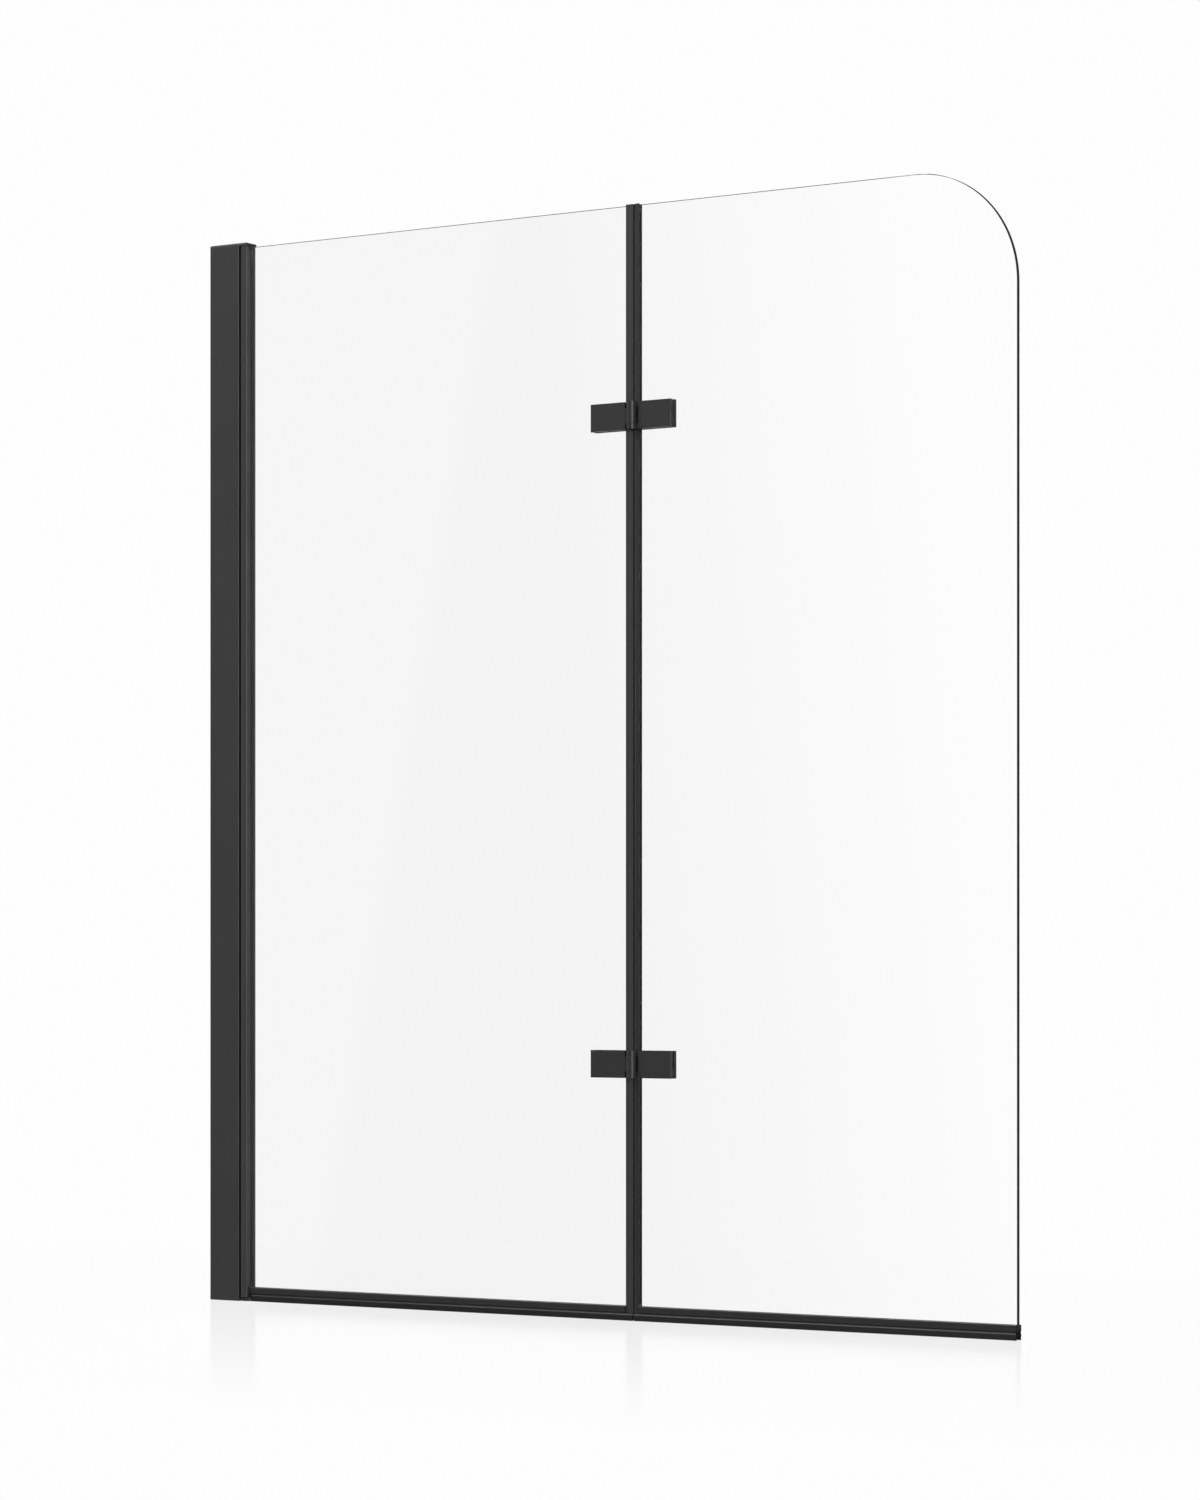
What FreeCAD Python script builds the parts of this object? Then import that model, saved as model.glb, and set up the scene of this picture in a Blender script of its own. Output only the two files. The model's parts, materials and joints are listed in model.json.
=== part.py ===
import FreeCAD, Part
import os
import re
import Sketcher

# Folding bath screen with two glass panels.
# Millimetres. X runs along the screen from the wall face, -Y is the front, Z is up from the bath rim,
# and the glass lies about the plane Y = 0.

SIZES = (
    ("screen_height", 1400, "bath rim to the top of the wall channel's cap"),
    ("screen_width", 1200, "wall face to the free edge of the outer glass"),
    ("glass_thickness", 6, "toughened glass"),
    ("free_corner_radius", 140, "round top corner of the outer glass"),
    ("cover_face", 47.3, "front face of the cover channel"),
    ("cover_depth", 23, "cover channel, front to back"),
    ("cover_wall", 1.5, "cover channel's wall"),
    ("cover_web", 1.5, "cross web in the cover channel"),
    ("cover_mouth", 6.5, "depth of the mouth that takes the post's nose"),
    ("cover_corner", 1.4, "cover channel's edges beside the groove"),
    ("cover_wall_edge", 0.3, "cover channel's edges at the wall"),
    ("slide_clearance", 0.2, "cover channel over wall profile, each side"),
    ("profile_reach", 30, "wall face to the ends of the wall profile's flanges"),
    ("profile_wall", 2, "wall profile's web and flanges"),
    ("wall_hole_diameter", 5.5, "holes for the wall screws"),
    ("wall_hole_margin", 100, "ends of the screen to the outer pair of wall holes"),
    ("wall_hole_inner_pitch", 400, "inner pair of wall holes"),
    ("fixing_place", 18, "wall face to the fixing screws"),
    ("fixing_margin", 100, "ends of the screen to the outer fixing screws"),
    ("fixing_thread", 4, "fixing screw's thread diameter"),
    ("fixing_length", 7, "fixing screw under its head"),
    ("fixing_head", 8, "fixing screw's head diameter"),
    ("fixing_head_height", 2.2, "fixing screw's head"),
    ("snap_rim", 0.9, "snap cover's wall"),
    ("snap_clearance", 0.3, "snap cover around the screw head"),
    ("screw_clearance", 0.1, "screw in its own hole, on radius"),
    ("cap_thickness", 4, "top and bottom caps"),
    ("cap_edge", 2, "rounded outer edges of the caps"),
    ("cap_corner", 2, "plan corners of the top cap over the post"),
    ("tongue_radius", 8, "round end of the bottom cap about the pivot"),
    ("cap_screw_place", 36, "wall face to the cap screws"),
    ("cap_screw_thread", 4, "cap screw's thread diameter"),
    ("cap_screw_head", 8, "cap screw's countersunk head"),
    ("cap_screw_length", 16, "cap screw overall"),
    ("port_wall", 2, "wall of the screw port in the cover channel"),
    ("nose_seal_width", 10, "seal strip in the channel's mouth"),
    ("nose_seal_gap", 0.6, "seal strip to the post's nose"),
    ("groove_gap", 6.5, "cover channel to post"),
    ("post_width", 6.8, "front face of the pivot post"),
    ("post_depth", 23, "pivot post, front to back"),
    ("post_corner", 2, "rounded edges of the post on the glass side"),
    ("pocket_depth", 10, "glass pocket in the post"),
    ("gasket_wall", 1.5, "glazing gasket"),
    ("pivot_setback", 2.4, "post's left edge to the pivot axis"),
    ("pivot_gap", 1, "cap to post end"),
    ("pivot_pin_diameter", 5, "pivot pins"),
    ("pivot_pin_reach", 16, "pivot pin inside its block"),
    ("pin_end_recess", 0.2, "pivot pin below the outside of its cap"),
    ("pin_running_clearance", 0.05, "pin in a turning bore, on radius"),
    ("pin_fixed_clearance", 0.02, "pin in a fixed bore, on radius"),
    ("thrust_washer_diameter", 8.8, "washer between cap and pivot block"),
    ("thrust_washer_thickness", 0.7, "washer between cap and pivot block"),
    ("block_height", 20, "pivot block"),
    ("block_clearance", 0.1, "pivot block in the post's pocket"),
    ("block_setback", 0.7, "pivot block behind the post's glass side"),
    ("bore_end_gap", 1, "pin tip to the end of its bore"),
    ("block_screw_thread", 4, "screw that holds a pivot block"),
    ("block_screw_head", 8, "its countersunk head"),
    ("block_screw_bite", 1, "its reach into the block"),
    ("notch_clearance", 0.3, "glass notch around the pivot block"),
    ("notch_height_clearance", 1, "glass notch above the pivot block"),
    ("glass_drop", 0.5, "post's top to the glass's top edge"),
    ("fold_from_wall", 662.5, "wall face to the fold axis"),
    ("fold_offset", 9.5, "fold axis in front of the glass's middle"),
    ("inner_glass_setback", 5, "inner glass edge to the fold axis"),
    ("outer_glass_setback", 3.5, "fold axis to the outer glass edge"),
    ("inner_seal_lap", 6.2, "inner edge seal over its glass"),
    ("inner_seal_setback", 0.5, "inner edge seal's face to the fold axis"),
    ("outer_seal_lap", 4.5, "outer edge seal over its glass"),
    ("outer_seal_setback", 1.2, "fold axis to the outer edge seal's face"),
    ("edge_seal_depth", 10, "edge seals, front to back"),
    ("edge_seal_corner", 1, "rounded edges of the edge seals"),
    ("edge_seal_rise", 1, "edge seals above the glass"),
    ("seal_fit_gap", 0.2, "seal ends to their neighbours"),
    ("rail_height", 8.5, "bottom rails"),
    ("rail_depth", 14, "bottom rails, front to back"),
    ("rail_wall", 1.8, "bottom rails' sides"),
    ("rail_base", 2, "bottom rails' floor"),
    ("rail_corner", 0.8, "rounded edges of the rails"),
    ("rail_end_gap", 0.3, "rail ends to post and seals"),
    ("wiper_height", 9.8, "wiper lips below the rails"),
    ("wiper_waist", 11.2, "wiper under the rail, front to back"),
    ("wiper_foot", 14, "wiper on the rim, front to back"),
    ("wiper_neck_height", 0.2, "straight neck under the rail"),
    ("wiper_shoulder_height", 6.8, "upright face of each lip"),
    ("wiper_lip", 1.6, "thickness of each lip on the rim"),
    ("wiper_hollow_height", 6, "hollow between the lips"),
    ("wiper_pivot_clearance", 9, "pivot axis to the inner wiper"),
    ("upper_hinge_drop", 269, "top of the screen to the middle of the upper hinge"),
    ("lower_hinge_level", 320.6, "middle of the lower hinge"),
    ("hinge_height", 34.5, "hinge leaves"),
    ("leaf_thickness", 4.7, "front leaves and back plates"),
    ("leaf_corner", 1, "rounded ends of the leaves"),
    ("clamp_gasket", 0.5, "gasket between plate and glass"),
    ("gasket_inset", 0.6, "clamp gasket inside the plate's outline"),
    ("gasket_edge_gap", 0.3, "front clamp gasket to the glass edge at the fold"),
    ("inner_leaf_reach", 62.1, "fold axis to the inner leaf's end"),
    ("inner_leaf_start", 10.5, "fold axis to the inner leaf's plate"),
    ("outer_leaf_reach", 56.8, "fold axis to the outer leaf's end"),
    ("outer_leaf_start", 7.8, "fold axis to the outer leaf's plate"),
    ("knuckle_radius", 6.5, "hinge barrel"),
    ("ear_height", 7, "outer knuckles"),
    ("hinge_washer_thickness", 0.5, "washers between knuckles"),
    ("hinge_play", 0.1, "each side of a hinge washer"),
    ("hinge_pin_diameter", 6, "hinge pin"),
    ("seal_notch_clearance", 0.4, "edge seals' faces around the hinge barrels"),
    ("lip_trim_clearance", 0.25, "edge seals' lips to the hinge leaves"),
    ("clamp_pitch", 26, "spacing of a leaf's clamp screws"),
    ("clamp_thread", 4.2, "clamp screw's thread diameter"),
    ("clamp_head", 9, "clamp screw's countersunk head"),
    ("screw_socket", 2.5, "hexagon in the countersunk screws, across flats"),
    ("screw_socket_depth", 1.4, "hexagon in the countersunk screws"),
    ("clamp_bite", 5, "clamp screw inside its spigot"),
    ("spigot_diameter", 8, "threaded spigot of a front leaf"),
    ("spigot_short", 0.5, "spigot's end short of the back gasket"),
    ("thread_floor", 1.5, "metal left in front of a spigot's thread"),
    ("glass_hole", 12, "holes in the glass for the spigots"),
    ("sleeve_clearance", 0.1, "sleeve to glass and spigot, on radius"),
)

PLACES = (
    ("glass_half", "glass_thickness / 2", "glass face"),
    ("cover_half", "cover_depth / 2", "cover channel's outer face"),
    ("cover_inner_half", "cover_half - cover_wall", "cover channel's inner face"),
    ("web_right", "cover_face - cover_mouth", "bottom of the mouth"),
    ("web_left", "web_right - cover_web", "wall side of the web"),
    ("profile_half", "cover_inner_half - slide_clearance", "wall profile's outer face"),
    ("profile_inner_half", "profile_half - profile_wall", "wall profile's inner face"),
    ("cover_bottom", "cap_thickness", "lower end of the extrusions on the wall"),
    ("cover_top", "screen_height - cap_thickness", "upper end of the extrusions on the wall"),
    ("middle_level", "screen_height / 2", "middle of the wall holes and of the fixing screws"),
    ("wall_hole_outer_pitch", "screen_height - 2 * wall_hole_margin", "outer pair of wall holes"),
    ("fixing_pitch", "middle_level - fixing_margin", "spacing of the fixing screws"),
    ("port_radius", "cap_screw_thread / 2 + port_wall", "screw port"),
    ("post_left", "cover_face + groove_gap", "left edge of the post's front face"),
    ("post_right", "post_left + post_width", "glass side of the post"),
    ("post_half", "post_depth / 2", "post's front and back faces"),
    ("pivot_across", "post_left + pivot_setback", "pivot axis"),
    ("nose_radius", "sqrt(pivot_setback * pivot_setback + post_half * post_half)", "post's round nose"),
    ("nose_tip", "pivot_across - nose_radius", "end of the nose"),
    ("post_bottom", "cover_bottom + pivot_gap", "lower end of the post"),
    ("post_top", "cover_top - pivot_gap", "upper end of the post"),
    ("pocket_half", "glass_half + gasket_wall", "glass pocket's sides"),
    ("pocket_left", "post_right - pocket_depth", "glass pocket's floor"),
    ("inner_glass_left", "pocket_left + gasket_wall", "inner glass in the pocket"),
    ("inner_glass_right", "fold_from_wall - inner_glass_setback", "inner glass at the fold"),
    ("outer_glass_left", "fold_from_wall + outer_glass_setback", "outer glass at the fold"),
    ("block_right", "post_right - block_setback", "pivot block's glass side"),
    ("notch_right", "block_right + notch_clearance", "glass notch"),
    ("notch_low", "post_bottom + block_height + notch_height_clearance", "top of the lower notch"),
    ("notch_high", "post_top - block_height - notch_height_clearance", "foot of the upper notch"),
    ("rail_bottom", "wiper_height", "underside of the rails"),
    ("rail_top", "rail_bottom + rail_height", "top of the rails"),
    ("rail_half", "rail_depth / 2", "rails' outer faces"),
    ("rail_inner_half", "rail_half - rail_wall", "rails' inner faces"),
    ("glass_bottom", "rail_bottom + rail_base", "lower edge of the glass"),
    ("glass_top", "post_top - glass_drop", "upper edge of the glass"),
    ("seal_half", "edge_seal_depth / 2", "edge seals' faces"),
    ("seal_bottom", "rail_bottom + seal_fit_gap", "lower ends of the edge seals"),
    ("seal_top", "glass_top + edge_seal_rise", "upper ends of the edge seals"),
    ("inner_seal_left", "inner_glass_right - inner_seal_lap", "inner edge seal's lips"),
    ("inner_seal_right", "fold_from_wall - inner_seal_setback", "inner edge seal's face"),
    ("outer_seal_left", "fold_from_wall + outer_seal_setback", "outer edge seal's face"),
    ("outer_seal_right", "outer_glass_left + outer_seal_lap", "outer edge seal's lips"),
    ("notch_back", "fold_offset - knuckle_radius - seal_notch_clearance", "edge seals behind the barrels"),
    ("inner_rail_left", "post_right + rail_end_gap", "inner rail at the post"),
    ("inner_rail_right", "inner_seal_left - rail_end_gap", "inner rail at the edge seal"),
    ("outer_rail_left", "outer_seal_right + rail_end_gap", "outer rail at the edge seal"),
    ("inner_wiper_left", "pivot_across + wiper_pivot_clearance", "inner wiper by the pivot"),
    ("upper_hinge_level", "screen_height - upper_hinge_drop", "middle of the upper hinge"),
    ("plate_back", "glass_half + clamp_gasket", "leaf's side on the gasket"),
    ("plate_front", "plate_back + leaf_thickness", "leaf's outer face"),
    ("inner_leaf_left", "fold_from_wall - inner_leaf_reach", "inner leaf's end"),
    ("inner_leaf_right", "fold_from_wall - inner_leaf_start", "inner leaf's plate at the fold"),
    ("outer_leaf_left", "fold_from_wall + outer_leaf_start", "outer leaf's plate at the fold"),
    ("outer_leaf_right", "fold_from_wall + outer_leaf_reach", "outer leaf's end"),
    ("inner_gasket_right", "inner_glass_right - gasket_edge_gap", "inner front gasket at the fold"),
    ("outer_gasket_left", "outer_glass_left + gasket_edge_gap", "outer front gasket at the fold"),
    ("inner_clamp_middle", "(inner_leaf_left + inner_leaf_right) / 2", "between the inner clamp screws"),
    ("outer_clamp_middle", "(outer_leaf_left + outer_leaf_right) / 2", "between the outer clamp screws"),
    ("ear_inset", "hinge_height / 2 - ear_height", "hinge's middle to an ear"),
    ("knuckle_half", "ear_inset - hinge_washer_thickness - 2 * hinge_play", "half of the centre knuckle"),
    ("clamp_thread_radius", "clamp_thread / 2", "clamp screw's thread"),
    ("thread_bore", "clamp_thread_radius + screw_clearance", "spigot's thread"),
    ("spigot_end", "glass_half - spigot_short", "spigot's end"),
    ("clamp_screw_length", "plate_front - spigot_end + clamp_bite", "clamp screw overall"),
    ("post_wall", "post_half - pocket_half", "post's wall beside the glass pocket"),
    ("block_screw_length", "post_wall + block_clearance + block_screw_bite", "block screw overall"),
)

doc = FreeCAD.newDocument("bath_screen")
OWNER = {alias: sheet for sheet, rows in (("size", SIZES), ("place", PLACES)) for alias, _, _ in rows}
SHEET_NAME = re.compile(r"\b[a-z_]+\b(?!\()")
OVERSHOOT = "1"
HINGES = ("upper", "lower")
CAP_SCREW = ("cap_screw_thread", "cap_screw_head", "cap_screw_length")
BLOCK_SCREW = ("block_screw_thread", "block_screw_head", "block_screw_length")
CLAMP_SCREW = ("clamp_thread", "clamp_head", "clamp_screw_length")
LEAF_ENDS = {
    "inner": ("inner_leaf_left", "inner_leaf_right"),
    "outer": ("outer_leaf_left", "outer_leaf_right"),
}
TURN = {
    "y": FreeCAD.Rotation(FreeCAD.Vector(1, 0, 0), -90),
    "z": FreeCAD.Rotation(),
}
pieces = []


def formula(text):
    """A formula on the names of the two sheets, in the document's own form."""
    return SHEET_NAME.sub(lambda name: f"{OWNER[name.group()]}.{name.group()}", text)


def fill_sheet(name, rows):
    """One row for each value: what it is, the value or its formula, and its alias."""
    sheet = doc.addObject("Spreadsheet::Sheet", name)
    for number, (alias, content, note) in enumerate(rows, start=1):
        sheet.set(f"A{number}", note)
        sheet.set(f"B{number}", str(content) if name == "size" else f"={formula(content)}")
        sheet.setAlias(f"B{number}", alias)
    doc.recompute()
    return sheet


size = fill_sheet("size", SIZES)
place = fill_sheet("place", PLACES)


def value(alias):
    """The number that a sheet holds for one of its names."""
    return float((size if OWNER[alias] == "size" else place).get(alias))


def signed_value(text):
    """The number for one name with or without a minus sign."""
    return -value(text[1:]) if text.startswith("-") else value(text)


def bind(obj, prop, text):
    """Ties a property of an object to a formula."""
    obj.setExpression(prop, formula(text))


def keep(obj, label):
    """Names an object as a finished piece."""
    obj.Label = label
    pieces.append(obj)
    return obj


def block(name, across, deep, up):
    """A box between pairs of formulas for X, Y and Z."""
    box = doc.addObject("Part::Box", name)
    for side, axis, (low, high) in zip(("Length", "Width", "Height"), "xyz", (across, deep, up)):
        bind(box, f"Placement.Base.{axis}", low)
        bind(box, side, f"({high}) - ({low})")
    return box


def set_round(obj, axis, start, end, centre):
    """Places a round primitive along an axis, from one level of that axis to another."""
    obj.Placement = FreeCAD.Placement(FreeCAD.Vector(), TURN[axis])
    bind(obj, f"Placement.Base.{axis}", start)
    for other, text in zip([letter for letter in "xyz" if letter != axis], centre):
        bind(obj, f"Placement.Base.{other}", text)
    bind(obj, "Height", f"({end}) - ({start})")
    return obj


def rod(name, axis, ends, centre, radius):
    """A cylinder along an axis; the centre is given on the other two axes."""
    cylinder = doc.addObject("Part::Cylinder", name)
    bind(cylinder, "Radius", radius)
    return set_round(cylinder, axis, *ends, centre)


def taper(name, axis, ends, centre, first_radius, last_radius):
    """A cone along an axis, as in a countersunk head."""
    cone = doc.addObject("Part::Cone", name)
    bind(cone, "Radius1", first_radius)
    bind(cone, "Radius2", last_radius)
    return set_round(cone, axis, *ends, centre)


def hexagon(name, axis, ends, centre, across_flats):
    """A hexagonal prism along an axis, as in a socket screw."""
    prism = doc.addObject("Part::Prism", name)
    prism.Polygon = 6
    bind(prism, "Circumradius", f"({across_flats}) / sqrt(3)")
    return set_round(prism, axis, *ends, centre)


def fuse(name, *shapes):
    joined = doc.addObject("Part::MultiFuse", name)
    joined.Shapes = list(shapes)
    joined.Refine = True
    return joined


def cut(name, base, *tools):
    result = doc.addObject("Part::Cut", name)
    result.Base = base
    result.Tool = tools[0] if len(tools) == 1 else fuse(f"{name}_cuts", *tools)
    return result


def group(name, *shapes):
    """Like pieces that share one node as separate solids."""
    together = doc.addObject("Part::Compound", name)
    together.Links = list(shapes)
    return together


def new_sketch(body, name, plane, offset):
    """A sketch on one of the body's own planes, moved along that plane's normal."""
    sketch = body.newObject("Sketcher::SketchObject", name)
    support = next(item for item in body.Origin.OriginFeatures if item.Role == plane)
    sketch.AttachmentSupport = (support, [""])
    sketch.MapMode = "FlatFace"
    bind(sketch, "AttachmentOffset.Base.z", offset)
    return sketch


def locate(sketch, geometry, point, centre, start=(1.0, 1.0)):
    """Ties one point of a sketch to a pair of formulas, from a first guess at their values."""
    for kind, text, guess in zip(("DistanceX", "DistanceY"), centre, start):
        index = sketch.addConstraint(Sketcher.Constraint(kind, -1, 1, geometry, point, guess))
        bind(sketch, f"Constraints[{index}]", text)


def add_loop(sketch, corners):
    """A closed polygon with one pair of formulas for each corner."""
    count = len(corners)
    rough = [FreeCAD.Vector(number + 1, (number + 1) * (count - number), 0) for number in range(count)]
    for number in range(count):
        sketch.addGeometry(Part.LineSegment(rough[number], rough[(number + 1) % count]))
    for number in range(count):
        sketch.addConstraint(Sketcher.Constraint("Coincident", number, 2, (number + 1) % count, 1))
    for number, corner in enumerate(corners):
        locate(sketch, number, 1, corner)


def add_circles(sketch, centres, radius):
    """Circles of one radius on pairs of formulas."""
    for centre in centres:
        index = sketch.addGeometry(Part.Circle(FreeCAD.Vector(1, 1, 0), FreeCAD.Vector(0, 0, 1), 1))
        locate(sketch, index, 3, centre)
        constraint = sketch.addConstraint(Sketcher.Constraint("Radius", index, 1.0))
        bind(sketch, f"Constraints[{constraint}]", radius)


def pad(body, sketch, length, symmetric=False):
    feature = body.newObject("PartDesign::Pad", f"{sketch.Name}_pad")
    feature.Profile = sketch
    feature.Midplane = symmetric
    bind(feature, "Length", length)
    return feature


def extrusion(name, plane, corners, offset, length, symmetric=False):
    """A body whose section is a polygon."""
    body = doc.addObject("PartDesign::Body", name)
    sketch = new_sketch(body, f"{name}_section", plane, offset)
    add_loop(sketch, corners)
    pad(body, sketch, length, symmetric)
    return body


def pierce(body, plane, centres, radius):
    """Round holes right through a body."""
    doc.recompute()
    before = body.Shape.Volume
    sketch = new_sketch(body, f"{body.Name}_holes", plane, "0")
    add_circles(sketch, centres, radius)
    feature = body.newObject("PartDesign::Pocket", f"{body.Name}_drilled")
    feature.Profile = sketch
    feature.Type = "ThroughAll"
    feature.Midplane = True
    doc.recompute()
    if body.Shape.Volume >= before:
        raise RuntimeError(f"{body.Name} has no holes")


def edges_at(shape, **levels):
    """Names of the edges that lie wholly at the given X, Y or Z."""
    def lies(edge):
        box = edge.BoundBox
        return all(
            abs(getattr(box, axis.upper() + end) - level) < 0.001
            for axis, level in levels.items()
            for end in ("Min", "Max")
        )

    return [f"Edge{number}" for number, edge in enumerate(shape.Edges, start=1) if lies(edge)]


def round_edges(body, radius, *levels):
    """Rounds the edges of a body that lie at the given levels."""
    doc.recompute()
    base = body.Tip
    names = sorted({name for level in levels for name in edges_at(base.Shape, **level)})
    feature = body.newObject("PartDesign::Fillet", f"{body.Name}_rounded")
    feature.Base = (base, names)
    bind(feature, "Radius", radius)
    doc.recompute()
    return body


def rectangle(low, high):
    """Corners of a rectangle from two opposite ones."""
    return [(low[0], low[1]), (high[0], low[1]), (high[0], high[1]), (low[0], high[1])]


def countersunk_screw(name, axis, face, towards, centre, sizes):
    """A countersunk screw: the face its head lies in, the sign of the way its tip points, and its sizes."""
    thread, head, length = sizes
    radius = f"({thread}) / 2"
    depth = f"(({head}) - ({thread})) / 2"
    cone = f"({face}) {towards} {depth}"
    tip = f"({face}) {towards} ({length})"
    if towards == "+":
        top = taper(f"{name}_head", axis, (face, cone), centre, f"({head}) / 2", radius)
        shank = rod(f"{name}_shank", axis, (cone, tip), centre, radius)
    else:
        top = taper(f"{name}_head", axis, (cone, face), centre, radius, f"({head}) / 2")
        shank = rod(f"{name}_shank", axis, (tip, cone), centre, radius)
    return fuse(name, top, shank)


def socket_screw(name, axis, face, towards, centre, sizes):
    """A countersunk screw with a hexagon socket in its head."""
    solid = countersunk_screw(f"{name}_solid", axis, face, towards, centre, sizes)
    floor = f"({face}) {towards} screw_socket_depth"
    ends = (face, floor) if towards == "+" else (floor, face)
    return cut(name, solid, hexagon(f"{name}_socket", axis, ends, centre, "screw_socket"))


def countersunk_hole(name, axis, face, towards, centre, sizes):
    """The room for such a screw, with its clearance on radius."""
    thread, head, length = sizes
    wider = tuple(f"({text}) + 2 * screw_clearance" for text in (thread, head))
    return countersunk_screw(name, axis, face, towards, centre, (*wider, length))


def wall_profile():
    """U extrusion that is screwed to the wall."""
    corners = [
        ("0", "-profile_half"),
        ("profile_reach", "-profile_half"),
        ("profile_reach", "-profile_inner_half"),
        ("profile_wall", "-profile_inner_half"),
        ("profile_wall", "profile_inner_half"),
        ("profile_reach", "profile_inner_half"),
        ("profile_reach", "profile_half"),
        ("0", "profile_half"),
    ]
    length = "cover_top - cover_bottom"
    body = extrusion("wall_profile_extrusion", "XY_Plane", corners, "cover_bottom", length)
    levels = [
        f"middle_level {sign} {pitch} / 2"
        for pitch in ("wall_hole_outer_pitch", "wall_hole_inner_pitch")
        for sign in "-+"
    ]
    pierce(body, "YZ_Plane", [("0", level) for level in levels], "wall_hole_diameter / 2")
    bores = [
        rod(
            f"wall_profile_tap_{number}",
            "y",
            ("profile_inner_half - " + OVERSHOOT, "profile_half + " + OVERSHOOT),
            ("fixing_place", level),
            "fixing_thread / 2 + screw_clearance",
        )
        for number, level in enumerate(fixing_levels())
    ]
    keep(cut("wall_profile", body, *bores), "wall_profile")


def fixing_levels():
    """Heights of the screws that lock the cover channel to the wall profile."""
    return ["middle_level - fixing_pitch", "middle_level", "middle_level + fixing_pitch"]


def cover_channel():
    """H extrusion over the wall profile, with a mouth for the post's nose and a port for the cap screws."""
    corners = [
        ("0", "-cover_half"),
        ("cover_face", "-cover_half"),
        ("cover_face", "-cover_inner_half"),
        ("web_right", "-cover_inner_half"),
        ("web_right", "cover_inner_half"),
        ("cover_face", "cover_inner_half"),
        ("cover_face", "cover_half"),
        ("0", "cover_half"),
        ("0", "cover_inner_half"),
        ("web_left", "cover_inner_half"),
        ("web_left", "-cover_inner_half"),
        ("0", "-cover_inner_half"),
    ]
    length = "cover_top - cover_bottom"
    body = extrusion("cover_extrusion", "XY_Plane", corners, "cover_bottom", length)
    half = value("cover_half")
    for radius, across in (("cover_wall_edge", 0), ("cover_corner", value("cover_face"))):
        round_edges(body, radius, *[dict(x=across, y=side) for side in (-half, half)])
    ends = ("cover_bottom", "cover_top")
    port = rod("cover_port", "z", ends, ("cap_screw_place", "0"), "port_radius")
    neck = block("cover_port_neck", ("cap_screw_place", "web_left"), ("-port_wall", "port_wall"), ends)
    holes = [
        rod(
            f"cover_fixing_hole_{number}",
            "y",
            ("cover_inner_half - slide_clearance", "cover_half + " + OVERSHOOT),
            ("fixing_place", level),
            "fixing_thread / 2 + screw_clearance",
        )
        for number, level in enumerate(fixing_levels())
    ]
    bore_radius = "cap_screw_thread / 2 + screw_clearance"
    bore = rod("cover_port_bore", "z", ends, ("cap_screw_place", "0"), bore_radius)
    solid = fuse("cover_with_port", body, port, neck)
    keep(cut("cover_channel", solid, bore, *holes), "cover_channel")


def nose_seal():
    """Strip in the bottom of the mouth, just clear of the post's nose."""
    strip = block(
        "nose_seal",
        ("web_right", "nose_tip - nose_seal_gap"),
        ("-nose_seal_width / 2", "nose_seal_width / 2"),
        ("cover_bottom", "cover_top"),
    )
    keep(strip, "nose_seal")


def fixings():
    """Pan-head screws through the back of the cover channel, each under a snap cover."""
    screws = []
    covers = []
    head_top = "cover_half + fixing_head_height"
    room_radius = "fixing_head / 2 + snap_clearance"
    room_top = f"{head_top} + snap_clearance"
    snap_radius = f"{room_radius} + snap_rim"
    for number, level in enumerate(fixing_levels()):
        centre = ("fixing_place", level)
        head = rod(f"fixing_head_{number}", "y", ("cover_half", head_top), centre, "fixing_head / 2")
        shank_ends = ("cover_half - fixing_length", "cover_half")
        shank = rod(f"fixing_shank_{number}", "y", shank_ends, centre, "fixing_thread / 2")
        screws.append(fuse(f"fixing_screw_{number}", head, shank))
        room = rod(f"snap_room_{number}", "y", ("cover_half", room_top), centre, room_radius)
        straight = rod(f"snap_wall_{number}", "y", ("cover_half", head_top), centre, snap_radius)
        crown_ends = (head_top, f"{room_top} + snap_rim")
        crown = taper(f"snap_crown_{number}", "y", crown_ends, centre, snap_radius, room_radius)
        covers.append(cut(f"snap_cover_{number}", fuse(f"snap_solid_{number}", straight, crown), room))
    keep(group("fixing_screw_group", *screws), "fixing_screws")
    keep(group("snap_cover_group", *covers), "fixing_screw_covers")


def top_cap():
    """Plate over channel and post that carries the upper pivot pin."""
    corners = rectangle(("0", "-cover_half"), ("post_right", "cover_half"))
    body = extrusion("top_cap_plate", "XY_Plane", corners, "cover_top", "cap_thickness")
    half = value("cover_half")
    ends = [dict(x=value("post_right"), y=side) for side in (-half, half)]
    round_edges(body, "cap_corner", *ends)
    round_edges(body, "cap_edge", dict(z=value("screen_height")))
    pin = rod(
        "top_cap_pin_hole",
        "z",
        ("cover_top - " + OVERSHOOT, "screen_height + " + OVERSHOOT),
        ("pivot_across", "0"),
        "pivot_pin_diameter / 2 + pin_fixed_clearance",
    )
    centre = ("cap_screw_place", "0")
    hole = countersunk_hole("top_cap_screw_hole", "z", "screen_height", "-", centre, CAP_SCREW)
    keep(cut("top_pivot_cap", body, pin, hole), "top_pivot_cap")
    keep(socket_screw("top_screw", "z", "screen_height", "-", centre, CAP_SCREW), "top_cap_screw")


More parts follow.
